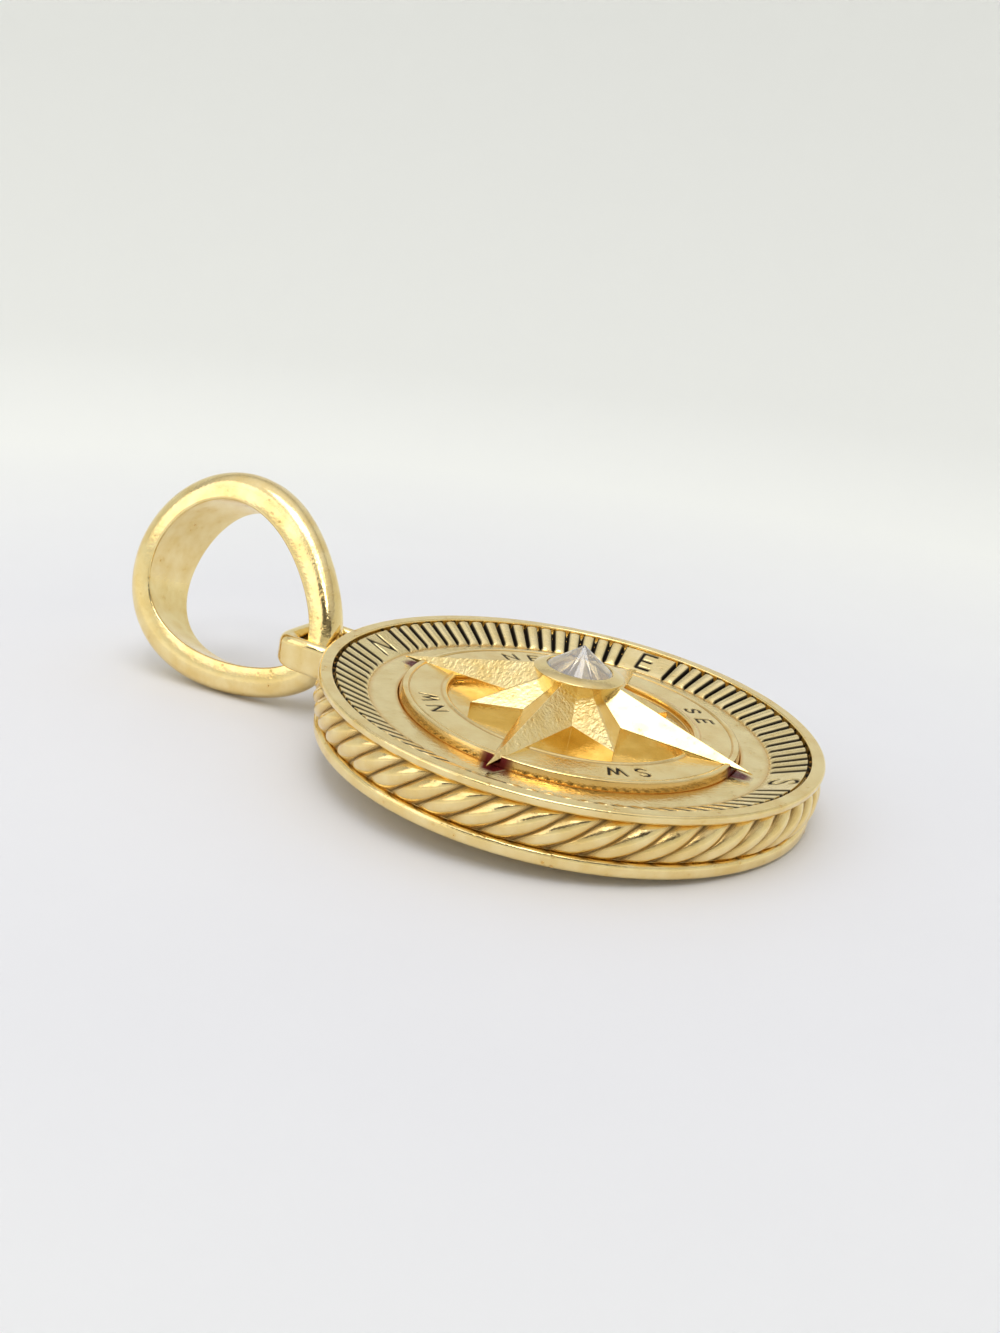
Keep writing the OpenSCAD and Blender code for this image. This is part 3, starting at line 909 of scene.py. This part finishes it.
        # Painted shadow, tinted as rouge, under each long tip of the star
        way = np.abs(np.radians(off_quarter(azimuth)) * r)
        reach = 0.25 + 0.35 * (self.hollow_r - r)
        under_tip = (1.0 - smooth_step(way - reach, -0.08, 0.12)) * (1.0 - smooth_step(r, 9.2, self.hollow_r))
        # The underside takes painted warm shade all over
        return Sheet("dial_ring", np.concatenate([top, base], 1),
                     masks={"blackened_and_shade": np.concatenate([blackened_and_shade, blank], 1),
                            "shaded_hollow": np.concatenate([warm, blank + 1.0], 1),
                            "rouge_shadow": np.concatenate([under_tip, blank], 1)})

    def dress(self, gold: bpy.types.Material) -> None:
        """Builds the ring."""
        finish_piece(self.sheet().build([gold]), Body.PENDANT, "dial_gold", "fluted_ring")


@dataclass
class DialPlate:
    """The raised plate: a sloped wall, a thin lip, the letter band and the sunk middle."""

    top: float = 3.1
    foot_r: float = 8.46
    edge_r: float = 8.36
    lip: float = 0.34
    drop: float = 0.44
    recess_r: float = 6.1
    recess_drop: float = 0.76
    bead: float = 0.06
    letter_height: float = 0.78
    letter_stroke: tuple[float, float] = (0.05, 0.1)
    letter_depth: float = 0.05
    letter_r: float = 7.15
    spread: float = 5.4
    base_z: float = 1.66

    def azimuths(self) -> Points:
        """Azimuths of the grid: close together at the diagonal letters.

        Returns:
            The azimuths in degrees, in order.
        """
        wide = np.linspace(0.0, 360.0, 240, endpoint=False)
        close = (QUARTERS[:, None] + 45.0 + np.linspace(-14.0, 14.0, 120)).ravel()
        return np.unique(np.round(np.concatenate([wide, close]), 3))

    def surface(self, r: Points, azimuth: Points) -> tuple[Points, Points, Points]:
        """Height, blackened letters and painted warm shade of the plate's top.

        The ground is the sunk middle, a small wall up to a bead, the letter band, a turned line
        and the lip. Letters are cut in by the distance to their strokes.

        Args:
            r: radii of the points.
            azimuth: their azimuths.

        Returns:
            The heights and the two masks.
        """
        band = self.top - self.drop
        sunk = self.top - self.recess_drop
        z = sunk + (band - sunk) * smooth_step(r, self.recess_r - 0.02, self.recess_r + 0.03)
        z = z + self.bead * np.exp(-((r - self.recess_r - 0.17) / 0.1) ** 2)
        line_r = self.edge_r - self.lip
        line = 1.0 - smooth_step(np.abs(r - line_r), 0.02, 0.06)
        z = z - 0.05 * line
        lip_up = smooth_step(r, line_r, line_r + 0.06)
        lip_down = smooth_step(r, self.edge_r - 0.1, self.edge_r)
        z = z + 0.04 * (lip_up - lip_down)
        letters = np.zeros_like(z)
        for start, pair in zip(QUARTERS + 45.0, ("NE", "SE", "SW", "NW")):
            for name, shift in zip(pair, (-self.spread, self.spread)):
                u = np.radians(half_turn(azimuth - start - shift)) * r
                cut = LETTERS[name].cut(u, r - self.letter_r, self.letter_height, self.letter_stroke)
                letters = np.maximum(letters, cut)
        z = z - self.letter_depth * letters
        # Painted warm shade at the feet of the recess's wall and bead, in the turned line and at the brink
        feet = np.exp(-((r - self.recess_r) / 0.05) ** 2) + np.exp(-((r - self.recess_r - 0.33) / 0.05) ** 2)
        brink = smooth_step(r, self.edge_r - 0.06, self.edge_r - 0.02)
        warm = np.clip(0.75 * feet + 0.8 * line + brink, 0.0, 1.0)
        return z, letters, warm

    def sheet(self) -> Sheet:
        """The plate as a closed disc: its worked top, sloped wall and underside.

        Rouge with painted shadow lies on the wall beside each long arm of the star.

        Returns:
            The sheet, rows round the axis and columns along the section.
        """
        radii = np.concatenate([
            [0.0], np.linspace(1.0, 5.9, 8), [6.05, 6.08, 6.1, 6.12, 6.16, 6.2, 6.24, 6.28, 6.32, 6.37, 6.43],
            np.linspace(6.52, 7.78, 40),
            self.edge_r - np.array([0.43, 0.4, 0.37, 0.34, 0.31, 0.28, 0.23, 0.17, 0.12, 0.08, 0.05])])
        azimuth = self.azimuths()[:, None]
        r = np.broadcast_to(radii[None, :], (len(azimuth), len(radii)))
        z, blackened_and_shade, warm = self.surface(r, np.broadcast_to(azimuth, r.shape))
        top = polar(r, azimuth, z)
        band = self.top - self.drop
        under = np.array([[self.edge_r - 0.02, band - 0.015], [self.edge_r, band - 0.05],
                          [self.foot_r - 0.01, 2.3], [self.foot_r, 2.24], [self.foot_r, 1.7],
                          [self.foot_r - 0.04, self.base_z], [4.0, self.base_z], [0.0, self.base_z]])
        base = polar(under[None, :, 0], azimuth, under[None, :, 1])
        blank = np.zeros((len(azimuth), len(under)))
        # Painted shadow, tinted as rouge, on the wall under each long arm
        way = np.abs(np.radians(off_quarter(azimuth))) * self.edge_r
        by_arm = (1.0 - smooth_step(way, 0.55, 0.95)) * (under[None, :, 1] < band - 0.012)
        # The wall and underside take painted warm shade all over
        return Sheet("dial_plate", np.concatenate([top, base], 1), wrap_cols=False, poles=(True, True),
                     masks={"blackened_and_shade": np.concatenate([blackened_and_shade, blank], 1),
                            "shaded_hollow": np.concatenate([warm, blank + 0.75], 1),
                            "rouge_shadow": np.concatenate([np.zeros_like(warm), by_arm], 1)})

    def dress(self, gold: bpy.types.Material) -> None:
        """Builds the plate."""
        finish_piece(self.sheet().build([gold]), Body.PENDANT, "plate_gold", "compass_plate")


@dataclass
class Star:
    """The eight-point star: flat facets that meet in ridges, over upright side walls.

    Each facet joins a point of the star, the valley beside it and the peak. Facets are
    polished and satin in turn, one whole valley after another.
    """

    top: float = 3.1
    long_r: float = 9.4
    short_r: float = 5.3
    valley_r: float = 3.3
    peak: float = 1.95
    drops: tuple[float, float, float] = (0.56, 0.3, 0.04)
    foot_z: float = 1.98
    free_r: float = 8.3
    tip_thick: float = 0.1
    free_z: float = 2.6
    bevel: float = 0.03

    def corners(self) -> tuple[Points, Points, Points]:
        """The outline's sixteen corners, and the shoulders where each long arm comes free.

        A shoulder lies on the line from a long tip to the valley beside it, near the plate's edge.

        Returns:
            The low corners, the high corners and the shoulders, two to a long arm.
        """
        k = np.arange(16)
        valley = k % 2 == 1
        long_point = k % 4 == 0
        r = np.where(valley, self.valley_r, np.where(long_point, self.long_r, self.short_r))
        drop = np.where(valley, self.drops[2], np.where(long_point, self.drops[0], self.drops[1]))
        foot = np.where(long_point, self.top - self.drops[0] - self.tip_thick, self.foot_z)
        low, high = polar(r, k * 22.5, foot), polar(r, k * 22.5, self.top - drop)
        tips = np.repeat(k[long_point], 2)
        beside = (tips + np.tile([-1, 1], 4)) % 16
        share = (self.long_r - self.free_r) / (self.long_r - self.valley_r)
        shoulders = low[tips] + (low[beside] - low[tips]) * share
        shoulders[:, 2] = self.free_z
        return low, high, shoulders

    def solid(self) -> tuple[Points, Faces, list[int]]:
        """The star's flat faces: facets, side walls, foot and the long arms' free undersides.

        Returns:
            The corners, the faces turned outwards, and each face's finish by slot.
        """
        low, high, shoulders = self.corners()
        ends = np.array([[0.0, 0.0, self.top + self.peak], [0.0, 0.0, self.foot_z]])
        deep = shoulders * np.array([1.0, 1.0, 0.0]) + np.array([0.0, 0.0, self.foot_z])
        points = np.concatenate([low, high, ends, shoulders, deep])
        peak, middle, free, sunk = 32, 33, 34, 42
        faces: Faces = []
        slots: list[int] = []
        for k in range(16):
            n = (k + 1) % 16
            facet = (16 + k, 16 + n, peak)
            if k % 4 == 0:
                side = 2 * (k // 4) + 1
                faces += [(k, free + side, sunk + side, n, 16 + n, 16 + k), facet]
                faces.append((sunk + side, middle, n))
            elif n % 4 == 0:
                side = 2 * (n // 4)
                faces += [(k, sunk + side, free + side, n, 16 + n, 16 + k), facet]
                faces.append((k, middle, sunk + side))
            else:
                faces += [(k, n, 16 + n, 16 + k), facet, (n, k, middle)]
            # Side walls take the darker gold of painted shade
            slots += [2, (k // 2) % 2, 2]
        for tip in range(4):
            left, right = 2 * tip, 2 * tip + 1
            faces.append((4 * tip, free + left, free + right))
            faces.append((free + left, sunk + left, sunk + right, free + right))
            faces.append((sunk + left, middle, sunk + right))
            # The arms' undersides take the rouge with painted shadow
            slots += [3, 3, 3]
        return points, [f[::-1] for f in faces], slots

    def dress(self, finishes: list[bpy.types.Material]) -> None:
        """Builds the star.

        Args:
            finishes: those of the polished facets, the satin ones, the side walls in a darker gold
                as painted shade, and the undersides in rouge with painted shadow.
        """
        points, faces, slots = self.solid()
        obj = link_piece("star_points", LIE.place(points), faces, finishes)
        obj.data.polygons.foreach_set("material_index", np.array(slots, np.int32))
        softened = obj.modifiers.new("softened", "BEVEL")
        softened.width = self.bevel * MM
        softened.segments = 2
        softened.limit_method = "ANGLE"
        softened.angle_limit = math.radians(8.0)
        softened.harden_normals = True
        finish_piece(obj, Body.PENDANT, "star_gold", "compass_star")


@dataclass
class StoneSetting:
    """The conical collet and the round stone set point up in it."""

    top: float = 3.1
    lip_z: float = 1.6
    lip_r: float = 2.25
    foot_r: float = 1.05
    rise: float = 0.2
    stone_r: float = 1.62
    table: float = 0.56
    crown: float = 0.15
    girdle: float = 0.03
    pavilion: float = 0.37

    def collet(self) -> Sheet:
        """The collet: a cone widening upwards, a thin edge, a sloped bezel and a seat.

        Returns:
            The sheet, turned about the case's axis.
        """
        lip = self.top + self.lip_z
        foot = self.top - 0.9
        bezel = lip + self.rise
        profile = crisp([(0.0, foot), (self.foot_r, foot), (self.lip_r - 0.03, lip - 0.12),
                         (self.lip_r, lip - 0.03), (self.lip_r - 0.06, lip), (self.stone_r + 0.07, bezel),
                         (self.stone_r + 0.02, bezel - 0.04), (self.stone_r + 0.02, bezel - 0.24),
                         (1.28, bezel - 0.74), (1.28, bezel - 1.07), (0.0, bezel - 1.07)], 0.018)
        return lathe("collet_cup", profile, 192)

    def stone(self) -> tuple[Points, Faces]:
        """The stone, point up: table and crown below, the girdle, then the pavilion to the culet.

        Returns:
            The corners and the facets, which face inwards.
        """
        r = self.stone_r
        z0 = self.top + self.lip_z + self.rise - 0.12 - self.girdle * r
        z1 = z0 + 2 * self.girdle * r
        eight = np.arange(8) * 45.0
        round_girdle = np.arange(32) * 11.25
        height = self.pavilion * 2 * r
        crown = self.crown * 2 * r
        main_r = 0.24
        main_z = z1 + height * (1 - main_r) * 0.985
        parts = [polar(self.table * r, eight, z0 - crown), polar(0.8 * r, eight + 22.5, z0 - 0.56 * crown),
                 polar(r, round_girdle, z0), polar(r, round_girdle, z1),
                 polar(main_r * r, eight + 22.5, main_z), polar(0.0, np.zeros(1), z1 + height)]
        points = np.concatenate([np.broadcast_to(p, (len(p), 3)) for p in parts])
        faces: Faces = [tuple(range(7, -1, -1))]
        for k in range(8):
            n, p = (k + 1) % 8, (k - 1) % 8
            g = 16 + 4 * k
            wrap = 16 + (4 * k + 4) % 32
            faces += [(k, n, 8 + k), (8 + p, k, 8 + k, g)]
            faces += [(8 + k, g + 2, g + 1, g), (8 + k, wrap, g + 3, g + 2)]
            h = g + 32
            h_wrap = 48 + (4 * k + 4) % 32
            faces += [(h, h + 1, h + 2, 80 + k), (h + 2, h + 3, h_wrap, 80 + k)]
            faces += [(80 + p, h, 80 + k, 88)]
        for k in range(32):
            n = (k + 1) % 32
            faces.append((16 + k, 16 + n, 48 + n, 48 + k))
        return points, faces

    def dress(self, gold: bpy.types.Material, clear: bpy.types.Material) -> None:
        """Builds the collet and the stone.

        Args:
            gold: the collet's finish.
            clear: the stone's.
        """
        finish_piece(self.collet().build([gold]), Body.PENDANT, "collet_gold", "stone_collet")
        points, faces = self.stone()
        obj = link_piece("round_stone", LIE.place(points), [f[::-1] for f in faces], [clear])
        finish_piece(obj, Body.PENDANT, "stone", "stone")


@dataclass
class BailHoop:
    """The bail: a domed band carried round an oval that narrows towards the loop."""

    length: float = 10.84
    half_height: float = 5.17
    taper: float = 0.47
    width: tuple[float, float] = (1.66, 4.1)
    edge: float = 0.5
    crown: tuple[float, float] = (0.98, 1.41)
    rise_deg: float = 18.2
    roll_deg: float = 22.0
    yaw_deg: float = -11.8
    dish: float = 0.06
    soft: float = 0.14
    fullness: float = 0.86
    hang: tuple[float, float] = (14.92, 1.13)
    hang_deg: float = 172.0
    rings: int = 260

    def oval(self, t: Points) -> Points:
        """The inner line: the cosine along, and the sine narrowed by the way from the far end.

        Args:
            t: angles round the oval, 0 at the far end.

        Returns:
            Places along and across.
        """
        reach = (np.cos(t) + 1.0) / 2.0
        along = self.length / 2 * np.cos(t)
        across = self.half_height * np.sin(t) * (1.0 - self.taper * (1.0 - reach))
        return np.stack([along, across], -1)

    def local(self, t: Points, w: Points, out: Points) -> Points:
        """Points of the band, out from the oval along its normal.

        Args:
            t: angles round the oval.
            w: ways across the band.
            out: ways out from the oval.

        Returns:
            The points on the bail's own axes.
        """
        o = self.oval(t)
        d = self.oval(t + 0.005) - self.oval(t - 0.005)
        n = np.stack([d[..., 1], -d[..., 0]], -1) / np.hypot(d[..., 0], d[..., 1])[..., None]
        return np.stack([w + 0.0 * out, o[..., 0] + n[..., 0] * out, o[..., 1] + n[..., 1] * out], -1)

    def turned(self, p: Points) -> Points:
        """Rolls, raises and yaws the bail's own axes into the case's plane.

        Args:
            p: points on the bail's own axes.

        Returns:
            The turned points.
        """
        roll, rise, yaw = (math.radians(a) for a in (self.roll_deg, self.rise_deg, self.yaw_deg))
        x = p[..., 0] * math.cos(roll) + p[..., 2] * math.sin(roll)
        h = -p[..., 0] * math.sin(roll) + p[..., 2] * math.cos(roll)
        y = p[..., 1] * math.cos(rise) - h * math.sin(rise)
        z = p[..., 1] * math.sin(rise) + h * math.cos(rise)
        return np.stack([x * math.cos(yaw) - y * math.sin(yaw), x * math.sin(yaw) + y * math.cos(yaw), z], -1)

    def sheet(self) -> Sheet:
        """The band's surface.

        The section has a dished inner face with softened edges, short upright edges and a
        crown, half an oval whose sine and cosine are raised to a power below one, which
        squares it. Width and crown grow with the reach from the loop.

        Returns:
            The sheet, rows round the oval and columns round the section.
        """
        t = np.linspace(0.0, 2 * math.pi, self.rings, endpoint=False)[:, None]
        reach = (np.cos(t) + 1.0) / 2.0
        half = self.width[0] / 2 + (self.width[1] - self.width[0]) / 2 * reach ** 2.2
        crown = self.crown[0] + (self.crown[1] - self.crown[0]) * reach
        dome = np.radians(np.linspace(0.0, 180.0, 33))[None, :]
        inner = np.linspace(-1.0, 1.0, 15)[None, :]
        face_w = inner * (half - self.soft)
        face_out = self.dish * (1.0 - inner ** 2) + 0.0 * half
        bend = np.radians(np.linspace(-80.0, 0.0, 5))[None, :]
        corner_w = half - self.soft + self.soft * np.cos(bend)
        corner_out = self.soft + self.soft * np.sin(bend) + 0.0 * half
        across = np.sign(np.cos(dome)) * np.abs(np.cos(dome)) ** self.fullness
        w = np.concatenate([face_w, corner_w, half * across, -corner_w[:, ::-1]], 1)
        out = np.concatenate([face_out, corner_out, self.edge + crown * np.sin(dome) ** self.fullness,
                              corner_out[:, ::-1]], 1)
        grid = self.turned(self.local(np.broadcast_to(t, w.shape), w, out))
        hang_t = np.array(math.radians(self.hang_deg))
        anchor = self.turned(self.local(hang_t, np.array(0.0), np.array(0.0)))
        grid = grid + np.array([0.0, self.hang[0], self.hang[1]]) - anchor
        return Sheet("bail_hoop", grid, inside_out=True)

    def dress(self, gold: bpy.types.Material) -> None:
        """Builds the bail."""
        finish_piece(self.sheet().build([gold]), Body.BAIL, "bail_gold", "bail")


@dataclass(frozen=True)
class Lamp:
    """A soft square lamp that looks at the pendant."""

    name: str
    place: tuple[float, float, float]
    size: float
    power: float

    def hang(self) -> None:
        """Makes the lamp, turned towards the origin and unseen by the camera."""
        data = bpy.data.lights.new(self.name, "AREA")
        data.size = self.size
        data.energy = self.power
        obj = bpy.data.objects.new(self.name, data)
        obj.location = self.place
        obj.rotation_euler = mathutils.Vector(self.place).to_track_quat("Z", "Y").to_euler()
        obj.visible_camera = False
        bpy.context.scene.collection.objects.link(obj)


@dataclass(frozen=True)
class PaleBoard:
    """The board that the pendant lies on, whose tint changes from near to far: darker near the
    pendant as painted shade on its own lavender tint, and cream further off.
    """

    # The near tints are darker: painted shade round the pendant, on the board's own lavender tint
    shaded_near_low: Colour = (0.80, 0.80, 0.83)
    shaded_near_high: Colour = (0.84, 0.84, 0.865)
    far: Colour = (0.96, 0.965, 0.925)
    change: tuple[float, float] = (0.03, 0.09)
    roughness: float = 0.6

    def make(self) -> bpy.types.Material:
        """Builds the material: a faint cloud between two tints, blended to the far one by reach.

        Returns:
            The material.
        """
        material, n = blank_material("pale_board")
        place = n.add("ShaderNodeTexCoord").outputs["Object"]
        reach = n.add("ShaderNodeVectorMath", operation="LENGTH")
        n.feed(reach.inputs[0], place)
        cloud = n.add("ShaderNodeTexNoise", vector=place, scale=60.0, detail=3.0)
        near = n.blend(cloud.outputs["Fac"], (*self.shaded_near_low, 1.0), (*self.shaded_near_high, 1.0))
        far = n.remap(reach.outputs["Value"], *self.change)
        shader = n.add("ShaderNodeBsdfPrincipled", base_color=n.blend(far, near, (*self.far, 1.0)))
        shader.inputs["Roughness"].default_value = self.roughness
        n.surface(shader)
        return material


@dataclass
class Studio:
    """The pale surface, the soft lights and the camera at the photograph's angle.

    azimuth, elevation and roll turn the camera about the dial; distance and centre are in
    millimetres. The sweep, the card and the lamps are in metres.
    """

    azimuth: float = -67.6
    elevation: float = 18.63
    roll: float = 11.1
    distance: float = 68.39
    centre: tuple[float, float] = (-3.56, 1.69)
    focal_px: float = 1400.0
    image: tuple[int, int] = (1000, 1333)
    sweep_size: tuple[float, float, float] = (0.2, 0.2, 0.3)
    card_distance: float = 0.085
    card_lift: float = 23.0
    card_half: tuple[float, float] = (0.05, 0.011)
    card_colour: Colour = (0.03, 0.02, 0.015)
    dial_z: float = 3.1
    room_colour: Colour = (0.985, 0.985, 1.0)
    room_rise: tuple[float, float] = (0.6, 0.93)
    room: tuple[float, float] = (0.44, 0.95)
    lamps: tuple[Lamp, ...] = (
        Lamp("overhead", (-0.07, -0.03, 0.3), size=0.16, power=0.2),
        Lamp("near_strip", (-0.15, -0.06, 0.2), size=0.05, power=0.05),
        Lamp("left_window", (-0.2, 0.16, 0.2), size=0.24, power=0.16),
    )

    def axes(self, elevation: float) -> tuple[Points, Points, Points]:
        """The directions of a view from the camera's azimuth.

        Args:
            elevation: the angle above the dial, in degrees.

        Returns:
            Unit vectors back towards the viewer, to the right and up.
        """
        az, el = math.radians(self.azimuth), math.radians(elevation)
        back = np.array([math.sin(az) * math.cos(el), -math.cos(az) * math.cos(el), math.sin(el)])
        right = np.array([math.cos(az), math.sin(az), 0.0])
        return back, right, np.cross(back, right)

    def camera(self) -> None:
        """Sets the camera from the angles of its way back, its roll and its shift across."""
        back, right, up = self.axes(self.elevation)
        roll = math.radians(self.roll)
        rolled_right = right * math.cos(roll) + up * math.sin(roll)
        rolled_up = -right * math.sin(roll) + up * math.cos(roll)
        place = back * self.distance + rolled_right * self.centre[0] + rolled_up * self.centre[1]
        place = LIE.place(place + np.array([0.0, 0.0, self.dial_z]))
        data = bpy.data.cameras.new("camera")
        data.sensor_width = 36.0
        data.lens = self.focal_px / self.image[1] * 36.0
        data.clip_start = 0.001
        cam = bpy.data.objects.new("camera", data)
        bpy.context.scene.collection.objects.link(cam)
        matrix = np.eye(4)
        matrix[:3, :3] = LIE.turn(np.stack([rolled_right, rolled_up, back])).T
        matrix[:3, 3] = place
        cam.matrix_world = mathutils.Matrix(matrix.tolist())
        bpy.context.scene.camera = cam

    def sweep(self) -> None:
        """Lays the pale surface: flat round the pendant, then a quarter circle up to a wall."""
        flat, bend, top = self.sweep_size
        rise = arc((flat, bend), bend, -90.0, 0.0, 24)
        profile = np.concatenate([[[0.0, 0.0], [flat / 2, 0.0]], rise, [[flat + bend, top]]])
        azimuth = np.linspace(0.0, 360.0, 96, endpoint=False)[:, None]
        grid = polar(profile[None, :, 0], azimuth, profile[None, :, 1])
        sheet = Sheet("pale_surface", grid, wrap_cols=False, poles=(True, False))
        sheet.build([PaleBoard().make()], placed=False)

    def card(self) -> None:
        """Hangs a narrow dark card above and behind the camera, unseen, for the gold to reflect."""
        back, right, up = self.axes(self.elevation + self.card_lift)
        half_w, half_h = self.card_half
        middle = back * self.card_distance
        corners = np.stack([middle - right * half_w - up * half_h, middle + right * half_w - up * half_h,
                            middle + right * half_w + up * half_h, middle - right * half_w + up * half_h])
        sheet = Sheet("dark_card", np.stack([corners[:2], corners[[3, 2]]]), wrap_rows=False, wrap_cols=False)
        material = bpy.data.materials.new("dark_board")
        material.use_nodes = True
        shader = material.node_tree.nodes["Principled BSDF"]
        shader.inputs["Base Color"].default_value = (*self.card_colour, 1.0)
        obj = sheet.build([material], placed=False)
        obj.visible_camera = False
        obj.visible_shadow = False

    def lights(self) -> None:
        """Sets the room's pale light, brighter overhead than round about, and the soft lamps."""
        world = bpy.data.worlds.new("pale_room")
        bpy.context.scene.world = world
        world.use_nodes = True
        n = Nodes(world.node_tree)
        ray = n.add("ShaderNodeTexCoord").outputs["Generated"]
        up = n.add("ShaderNodeSeparateXYZ", vector=ray).outputs["Z"]
        strength = n.remap(up, *self.room_rise, *self.room)
        background = world.node_tree.nodes["Background"]
        background.inputs["Color"].default_value = (*self.room_colour, 1.0)
        n.feed(background.inputs["Strength"], strength)
        for lamp in self.lamps:
            lamp.hang()

    def dress(self) -> None:
        """Sets the camera, the sweep, the card, the lights and plain colours."""
        self.camera()
        self.sweep()
        self.card()
        self.lights()
        bpy.context.scene.view_settings.view_transform = "Standard"


def main() -> None:
    """Builds the studio and every piece of the pendant."""
    logging.basicConfig(level=logging.INFO, format="%(message)s")
    skin = metal_skin_group()
    polished = Gold("polished_gold", Texture.POLISHED).make(skin)
    edge = Gold("edge_gold", Texture.POLISHED, ripple=0.7, pits=1.5).make(skin)
    satin = Gold("satin_gold", Texture.SATIN, pits=1.0).make(skin)
    # A darker, more orange copy of the gold: painted shade on the star's side walls
    wall = Gold("shaded_wall_gold", Texture.POLISHED,
                light=(0.93, 0.71, 0.32), deep=(0.86, 0.62, 0.23)).make(skin)
    # Rouge with painted shadow over the whole piece, for the star's undersides
    rouge_shadow = Gold("rouge_shadow_gold", Texture.CAST, whole_rouge_shadow=1.0).make(skin)
    worn = Gold("worn_gold", Texture.POLISHED, ripple=0.6, pits=1.0).make(skin)
    pale = Gold("pale_cast_gold", Texture.CAST,
                light=(0.95, 0.79, 0.43), deep=(0.88, 0.7, 0.33), pits=0.8).make(skin)
    clear = ClearStone().make()
    Studio().dress()
    Case().dress(edge)
    RopeEdge().dress(polished)
    DialRing().dress(pale)
    DialPlate().dress(polished)
    Star().dress([polished, satin, wall, rouge_shadow])
    StoneSetting().dress(polished, clear)
    BailHoop().dress(worn)


if __name__ == "__main__":
    main()
